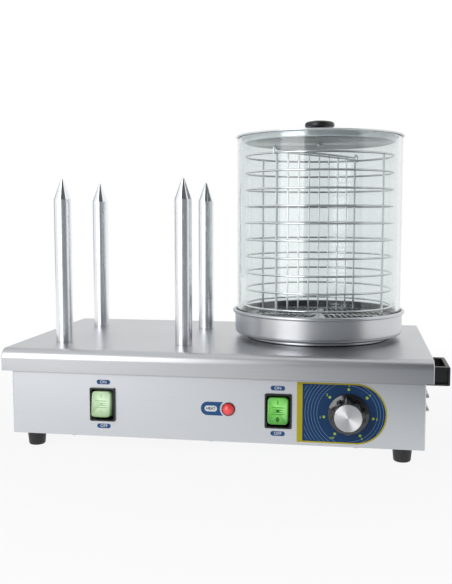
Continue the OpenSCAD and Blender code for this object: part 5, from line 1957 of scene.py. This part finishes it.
@dataclass
class PanelPrint:
    """The printed film round the knob and the labels of the controls."""

    layer: float = 0.04 * MM
    border: float = 1.6 * MM
    field_x: float = 101 * MM
    bar_w: float = 6 * MM
    dot_r: float = 1.5 * MM
    dot_ring_r: float = 26.5 * MM
    dot_angles: tuple[float, ...] = (237.4, 189.3, 139.0, 90.0, 43.0, -9.3, -61.6)
    numeral_size: float = 3.6 * MM
    numeral_out: float = 4 * MM
    off_size: float = 2.88 * MM
    off_out: float = 5.6 * MM
    window_gap: float = 0.3 * MM
    window_corner: float = 0.5 * MM
    hub_r: float = 17.6 * MM
    letter_t: float = 0.06 * MM
    letter_weight: float = 0.07 * MM
    word_up: float = 0.05 * MM
    ink_edge: float = 0.02 * MM
    pill_round: float = 0.48
    heat_size: float = 4.08 * MM
    word_size: float = 4.8 * MM
    pill_w: float = 15.8 * MM
    pill_h: float = 5.2 * MM
    on_up: float = 25.4 * MM
    off_up: float = -24.8 * MM
    left_label_shift: float = 1 * MM
    right_label_shift: float = -0.6 * MM
    ripples: int = 9
    first_ripple_r: float = 30.5 * MM
    ripple_pitch: float = 3.2 * MM
    ripple_w: float = 0.4 * MM
    heat_h: float = 15.2 * MM
    heat_reach: float = 30.8 * MM
    heat_word_w: float = 14 * MM
    heat_word_h: float = 6.6 * MM
    lamp_clear_r: float = 9.4 * MM
    lamp_ring_r: float = 7.6 * MM
    lamp_ring_half: float = 60.0

    def __post_init__(self) -> None:
        """Takes the film's edges and the controls' places from the frame."""
        self.low, self.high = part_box("dial_film")
        self.panel_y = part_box("control_panel")[0].y
        self.dial = joint_place("dial_turn")
        self.end_r = (self.high.z - self.low.z) / 2

    def outline(self, inset: float, start: float) -> Loop:
        """The film's outline with its round end.

        Args:
            inset: How far it is set in.
            start: Where it begins across.

        Returns:
            The outline.
        """
        low, high = self.low.z + inset, self.high.z - inset
        end = arc((self.high.x - self.end_r, (low + high) / 2), self.end_r - inset, -90, 90, 40)
        return [Vector((start, low)), *end, Vector((start, high))]

    def sheet(self, name: str, outline: Loop, finish: Finish, holes: Sequence[Loop]) -> None:
        """One printed layer on the film."""
        make(name, prism(outline, self.layer, holes), Facing.FRONT.at((0, self.low.y, 0)), finish, "base")

    def film(self) -> None:
        """The film itself, its blue field, its border and the lines round the knob."""
        low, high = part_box("right_switch_case")
        at = middle("right_switch_case")
        gap = self.window_gap
        opening = soft_rect(high.x - low.x, high.z - low.z, self.window_corner - gap, -gap)
        window = [p + Vector((at.x, at.z)) for p in opening]
        hub = [p + Vector((self.dial.x, self.dial.z)) for p in circle(self.hub_r, 64)]
        film = prism(self.outline(0, self.low.x), self.panel_y - self.low.y, [window, hub])
        place = Facing.FRONT.at((0, self.panel_y, 0))
        make("dial_film_sheet", film, place, SILVER_FILM, "base", "dial_film")
        field = self.outline(self.border, self.field_x)
        self.sheet("film_blue_field", field, BLUE_INK, [hub])
        self.sheet("film_yellow_edge", self.outline(0, self.field_x - self.bar_w), YELLOW_INK, [field])
        self.ripple_lines()

    def on_field(self, spot: Vector) -> bool:
        """Whether a place lies well on the blue field.

        Args:
            spot: The place, across and up.

        Returns:
            True if a line there stays on it.
        """
        inset = self.border + self.ripple_w
        end = Vector((self.high.x - self.end_r, (self.low.z + self.high.z) / 2))
        away = spot - end
        if away.x > 0:
            return away.length < self.end_r - inset
        return spot.x > self.field_x + inset and abs(away.y) < self.end_r - inset

    def ripple_lines(self) -> None:
        """Fine pale rings about the knob, as far as the blue field reaches."""
        centre = Vector((self.dial.x, self.dial.z))
        strips = []
        for k in range(self.ripples):
            radius = self.first_ripple_r + k * self.ripple_pitch
            run: Loop = []
            for spot in [*arc(centre, radius, 90, 450, 240), Vector((0, 0))]:
                if self.on_field(spot):
                    run.append(spot)
                    continue
                if len(run) > 2:
                    wide = self.ripple_w / 2 / radius
                    outer = [p + (p - centre) * wide for p in run]
                    inner = [p - (p - centre) * wide for p in reversed(run)]
                    strips.append(prism(outer + inner, self.layer))
                run = []
        place = Facing.FRONT.at((0, self.low.y - self.layer, 0))
        make("film_ripple_lines", joined(strips), place, LINE_INK, "base")

    def round_dial(self, angle: float, reach: float) -> tuple[float, float, float]:
        """A place on the print at an angle and a distance from the knob's axis."""
        turn = math.radians(angle)
        return (self.dial.x + reach * math.cos(turn), self.low.y - self.layer,
                self.dial.z + reach * math.sin(turn))

    def scale(self) -> None:
        """Dots round the knob with OFF and plain numerals beside them."""
        round_block = block(2 * self.dot_r, 2 * self.dot_r, self.dot_r * 0.98, 0.1 * MM, 0.04 * MM)
        dot = as_mesh("dot", round_block, Facing.FRONT.at((0, 0, 0)))
        places = [self.round_dial(angle, self.dot_ring_r) for angle in self.dot_angles]
        Copies("dial_dots", dot, places).build(DOT_INK, "base")
        marks = [("OFF", self.off_size, self.off_out)]
        marks += [(str(k), self.numeral_size, self.numeral_out) for k in range(1, len(self.dot_angles))]
        for k, (words, size, out) in enumerate(marks):
            spot = self.round_dial(self.dot_angles[k], self.dot_ring_r + out)
            self.word(f"dial_mark_{k}", words, size, spot, DOT_INK)

    def word(self, name: str, words: str, size: float, spot: Sequence[float], finish: Finish) -> None:
        """One word or numeral on the panel."""
        shape = letters(words, size, self.letter_t, self.letter_weight)
        make(name, shape, Facing.FRONT.at(spot), finish, "base")

    def pill(self, name: str, words: str, spot: Sequence[float]) -> None:
        """A slate label with a pale word.

        Args:
            name: The label's name.
            words: Its word.
            spot: The middle of its back.
        """
        label = block(self.pill_w, self.pill_h, self.pill_h * self.pill_round, self.letter_t, self.ink_edge)
        make(f"{name}_label", label, Facing.FRONT.at(spot), SLATE_INK, "base")
        front = (spot[0], spot[1] - self.word_up, spot[2])
        self.word(f"{name}_word", words, self.word_size, front, PALE_INK)

    def labels(self) -> None:
        """ON and OFF at both switches and HEAT beside the lamp."""
        for side, front, shift in (("left", self.panel_y, self.left_label_shift),
                                   ("right", self.low.y, self.right_label_shift)):
            at = middle(f"{side}_switch_case")
            for words, up in (("ON", self.on_up), ("OFF", self.off_up)):
                self.pill(f"{side}_{words.lower()}", words, (at.x + shift, front, at.z + up))
        self.heat_label()

    def heat_label(self) -> None:
        """The HEAT label, whose right end goes round the lamp."""
        lamp = middle("lamp_lens")
        spot = (lamp.x, self.panel_y, lamp.z)
        half = self.heat_h / 2
        bite = math.degrees(math.asin(half / self.lamp_clear_r))
        outline = [*arc((half - self.heat_reach, 0), half, 90, 270, 24),
                   *arc((0, 0), self.lamp_clear_r, 180 + bite, 180 - bite, 24)]
        make("heat_label", prism(outline, self.layer), Facing.FRONT.at(spot), SLATE_INK, "base")
        ends = (180 - self.lamp_ring_half, 180 + self.lamp_ring_half)
        ring = arc((0, 0), self.lamp_clear_r, *ends, 24) + arc((0, 0), self.lamp_ring_r, *ends[::-1], 24)
        make("lamp_pale_ring", prism(ring, self.layer), Facing.FRONT.at(spot), PALE_INK, "base")
        x = lamp.x - self.heat_reach + half * 0.55 + self.heat_word_w / 2
        pale = block(self.heat_word_w, self.heat_word_h, self.heat_word_h * self.pill_round, self.word_up,
                     self.ink_edge)
        front = self.panel_y - self.layer
        make("heat_label_pale", pale, Facing.FRONT.at((x, front, lamp.z)), PALE_INK, "base")
        self.word("heat_word", "HEAT", self.heat_size, (x, front - self.word_up, lamp.z), DARK_INK)

    def build(self) -> None:
        """Builds the film, the dial's scale and the labels."""
        self.film()
        self.scale()
        self.labels()


# What stays as its solid

PLAIN_NODES: dict[str, Finish] = {
    "bottom_plate": SATIN, "pan_bottom": SHADED_STEEL, "cover_nuts": ZINC, "plate_screws": ZINC,
    "foot_screws": ZINC, "foot_nuts": ZINC, "spike_heaters": ZINC, "spike_nuts": ZINC,
    "heating_plate": CAST, "heater_clamp": ZINC, "clamp_nut": ZINC, "thermostat_bulb": BRASS,
    "capillary_tube": BRASS, "thermostat_case": GRAINED,
    "thermostat_screws": ZINC, "thermostat_spindle": ZINC, "handle_screws": ZINC, "switch_terminals": BRASS,
    "lamp_nut": ZINC, "gland_nut": GRAINED, "terminal_block": CERAMIC, "wiring": LEADS, "lid_screw": SATIN,
}


def dress_plain_nodes() -> None:
    """Gives the solids that stay as they are their finishes."""
    for node, finish in PLAIN_NODES.items():
        obj = frame["nodes"][node]
        obj.data.materials.clear()
        obj.data.materials.append(finish.material())
        log.info("%s keeps its solid", node)


# The studio

@dataclass
class Card:
    """A dark card beside the camera that bright metal reflects, out of the camera's own sight."""

    name: str
    azimuth: float
    width: float
    height: float
    lift: float
    distance: float
    tone: float
    top_tone: float
    apron: float = 0.0
    graded_h: float = 1.2
    through_glass: bool = True
    apron_cut: float = 0.0

    def build(self) -> None:
        """Stands the card upright, facing the object, with its apron along the floor towards it."""
        angle = math.radians(self.azimuth)
        spot = Vector((math.sin(angle), -math.cos(angle), 0)) * self.distance
        half = self.width / 2
        near = half * (1 - self.apron / self.distance)
        rows = [(-half, half, 0.0, self.lift + self.height), (-half, half, 0.0, self.lift)]
        if self.apron:
            rows.append((self.apron_cut - near, near, self.apron, self.lift))
        bm = loft([[Vector((x, y, z)) for x in (left, right)] for left, right, y, z in rows],
                  wrap=False, caps=False)
        place = Matrix.Translation(spot) @ Euler((0, 0, angle)).to_matrix().to_4x4()
        card = put(self.name, as_mesh(self.name, bm, place))
        shader = Shader(f"{self.name}_cloth")
        height = shader.part(shader.spot, "Z")
        shader.feed("Emission Strength", shader.spread(height, self.tone, self.top_tone, 0.0, self.graded_h))
        shader.fix({"Base Color": (0.02, 0.02, 0.02, 1), "Roughness": 1.0, "Specular IOR Level": 0.0,
                    "Emission Color": (0.93, 0.98, 1.05, 1)})
        card.data.materials.append(shader.material)
        card.visible_camera = False
        card.visible_diffuse = False
        card.visible_shadow = False
        card.visible_transmission = self.through_glass


@dataclass
class Studio:
    """White surroundings, a pale floor, soft light and the camera."""

    eye: tuple[float, float, float] = (0.16026, -0.98218, 0.26315)
    pitch: float = 84.668
    yaw: float = 9.437
    lens: float = 49.83
    sensor_h: float = 36.0
    fill: float = 0.5
    key_energy: float = 7.2
    key_size: tuple[float, float] = (0.74, 1.2)
    key_azimuth: float = -29.5
    key_distance: float = 1.2
    key_lift: float = 0.05
    floor_half: float = 6.0

    def camera(self) -> None:
        """The camera at the picture's viewing angle."""
        data = bpy.data.cameras.new("view")
        data.lens = self.lens
        data.sensor_fit = "VERTICAL"
        data.sensor_height = self.sensor_h
        camera = put("view", data)
        camera.location = self.eye
        camera.rotation_euler = (math.radians(self.pitch), 0, math.radians(self.yaw))
        bpy.context.scene.camera = camera

    def seen(self, wiring: Wiring) -> NodeSocket:
        """One where the eye, a reflection or the glass looks, else none.

        Args:
            wiring: The tree that asks.

        Returns:
            The share.
        """
        path = wiring.add("ShaderNodeLightPath").outputs
        first = wiring.math("MAXIMUM", path["Is Camera Ray"], path["Is Glossy Ray"])
        return wiring.math("MAXIMUM", first, path["Is Transmission Ray"])

    def world(self) -> None:
        """White surroundings, with a plain level of light from them."""
        world = bpy.data.worlds.new("white_room")
        world.use_nodes = True
        bpy.context.scene.world = world
        wiring = Wiring(world.node_tree)
        wiring.tree.nodes.clear()
        lit = wiring.add("ShaderNodeBackground", {"Color": (1, 1, 1, 1), "Strength": self.fill})
        white = wiring.add("ShaderNodeBackground", {"Color": (1, 1, 1, 1), "Strength": 1.0})
        mix = wiring.add("ShaderNodeMixShader", {
            0: self.seen(wiring), 1: lit.outputs[0], 2: white.outputs[0]})
        wiring.add("ShaderNodeOutputWorld", {"Surface": mix.outputs[0]})

    def floor(self) -> None:
        """A pale floor that keeps the shadow near the object and turns white away from it."""
        half = self.floor_half
        bm = loft([[Vector((x, y, 0)) for x in (-half, half)] for y in (-half, half)], wrap=False, caps=False)
        floor = put("floor", as_mesh("floor", bm))
        shader = Shader("pale_floor")
        white = shader.spread(shader.measure("LENGTH", shader.spot), 0.88, 1.0, 0.3, 0.8)
        share = shader.math("MULTIPLY", white, self.seen(shader))
        speck = shader.spread(shader.noise(90.0))
        shader.feed("Base Color", shader.tint(speck, (0.8, 0.8, 0.8), (0.83, 0.83, 0.83)))
        shader.fix({"Roughness": 0.9, "Specular IOR Level": 0.1})
        glow = shader.add("ShaderNodeEmission", {"Color": (1, 1, 1, 1), "Strength": 1.0})
        mix = shader.add("ShaderNodeMixShader", {0: share, 1: shader.bsdf.outputs[0], 2: glow.outputs[0]})
        output = next(node for node in shader.tree.nodes if node.type == "OUTPUT_MATERIAL")
        shader.tree.links.new(mix.outputs[0], output.inputs["Surface"])
        floor.data.materials.append(shader.material)

    def lights(self) -> None:
        """One large soft box that stands at the front left, out of the eye's own sight."""
        data = bpy.data.lights.new("soft_box", "AREA")
        data.energy = self.key_energy
        data.shape = "RECTANGLE"
        data.size, data.size_y = self.key_size
        key = put("soft_box", data)
        angle = math.radians(self.key_azimuth)
        key.location = Vector((math.sin(angle), -math.cos(angle), 0)) * self.key_distance
        key.location.z = self.key_lift + self.key_size[1] / 2
        key.rotation_euler = (math.radians(90), 0, angle)
        key.visible_camera = False

    def build(self) -> None:
        """Sets up the view, the light and the surroundings."""
        bpy.context.scene.view_settings.view_transform = "Standard"
        self.camera()
        self.world()
        self.floor()
        self.lights()
        Card("front_card", azimuth=26.0, width=3.1, height=5.7, lift=0.002, distance=1.9, tone=0.3,
             top_tone=0.11, apron=1.45, apron_cut=0.26).build()
        Card("side_card", azimuth=235.0, width=2.0, height=2.4, lift=0.0, distance=2.5, tone=0.5,
             top_tone=0.5, through_glass=False).build()
        Card("floor_cloth", azimuth=self.key_azimuth, width=1.1, height=self.key_lift, lift=0.002,
             distance=self.key_distance, tone=0.15, top_tone=0.15, apron=0.3).build()


def main() -> None:
    """Builds the studio and the machine, piece by piece."""
    logging.basicConfig(level=logging.INFO, format="%(name)s: %(message)s")
    Studio().build()
    TopCover().build()
    Housing().build()
    Feet().build()
    BunSpikes().build()
    Handles().build()
    RearInlet().build()
    Steamer().build()
    Basket().build()
    RockerSwitch("left", srgb(218, 242, 208), srgb(128, 170, 106), 0.24, srgb(186, 214, 174),
                 srgb(172, 210, 162)).build()
    RockerSwitch("right", srgb(140, 230, 108), srgb(72, 160, 56), 0.22, srgb(52, 112, 44),
                 srgb(86, 172, 66)).build()
    HeatLamp().build()
    Dial().build()
    PanelPrint().build()
    dress_plain_nodes()


if __name__ == "__main__":
    main()
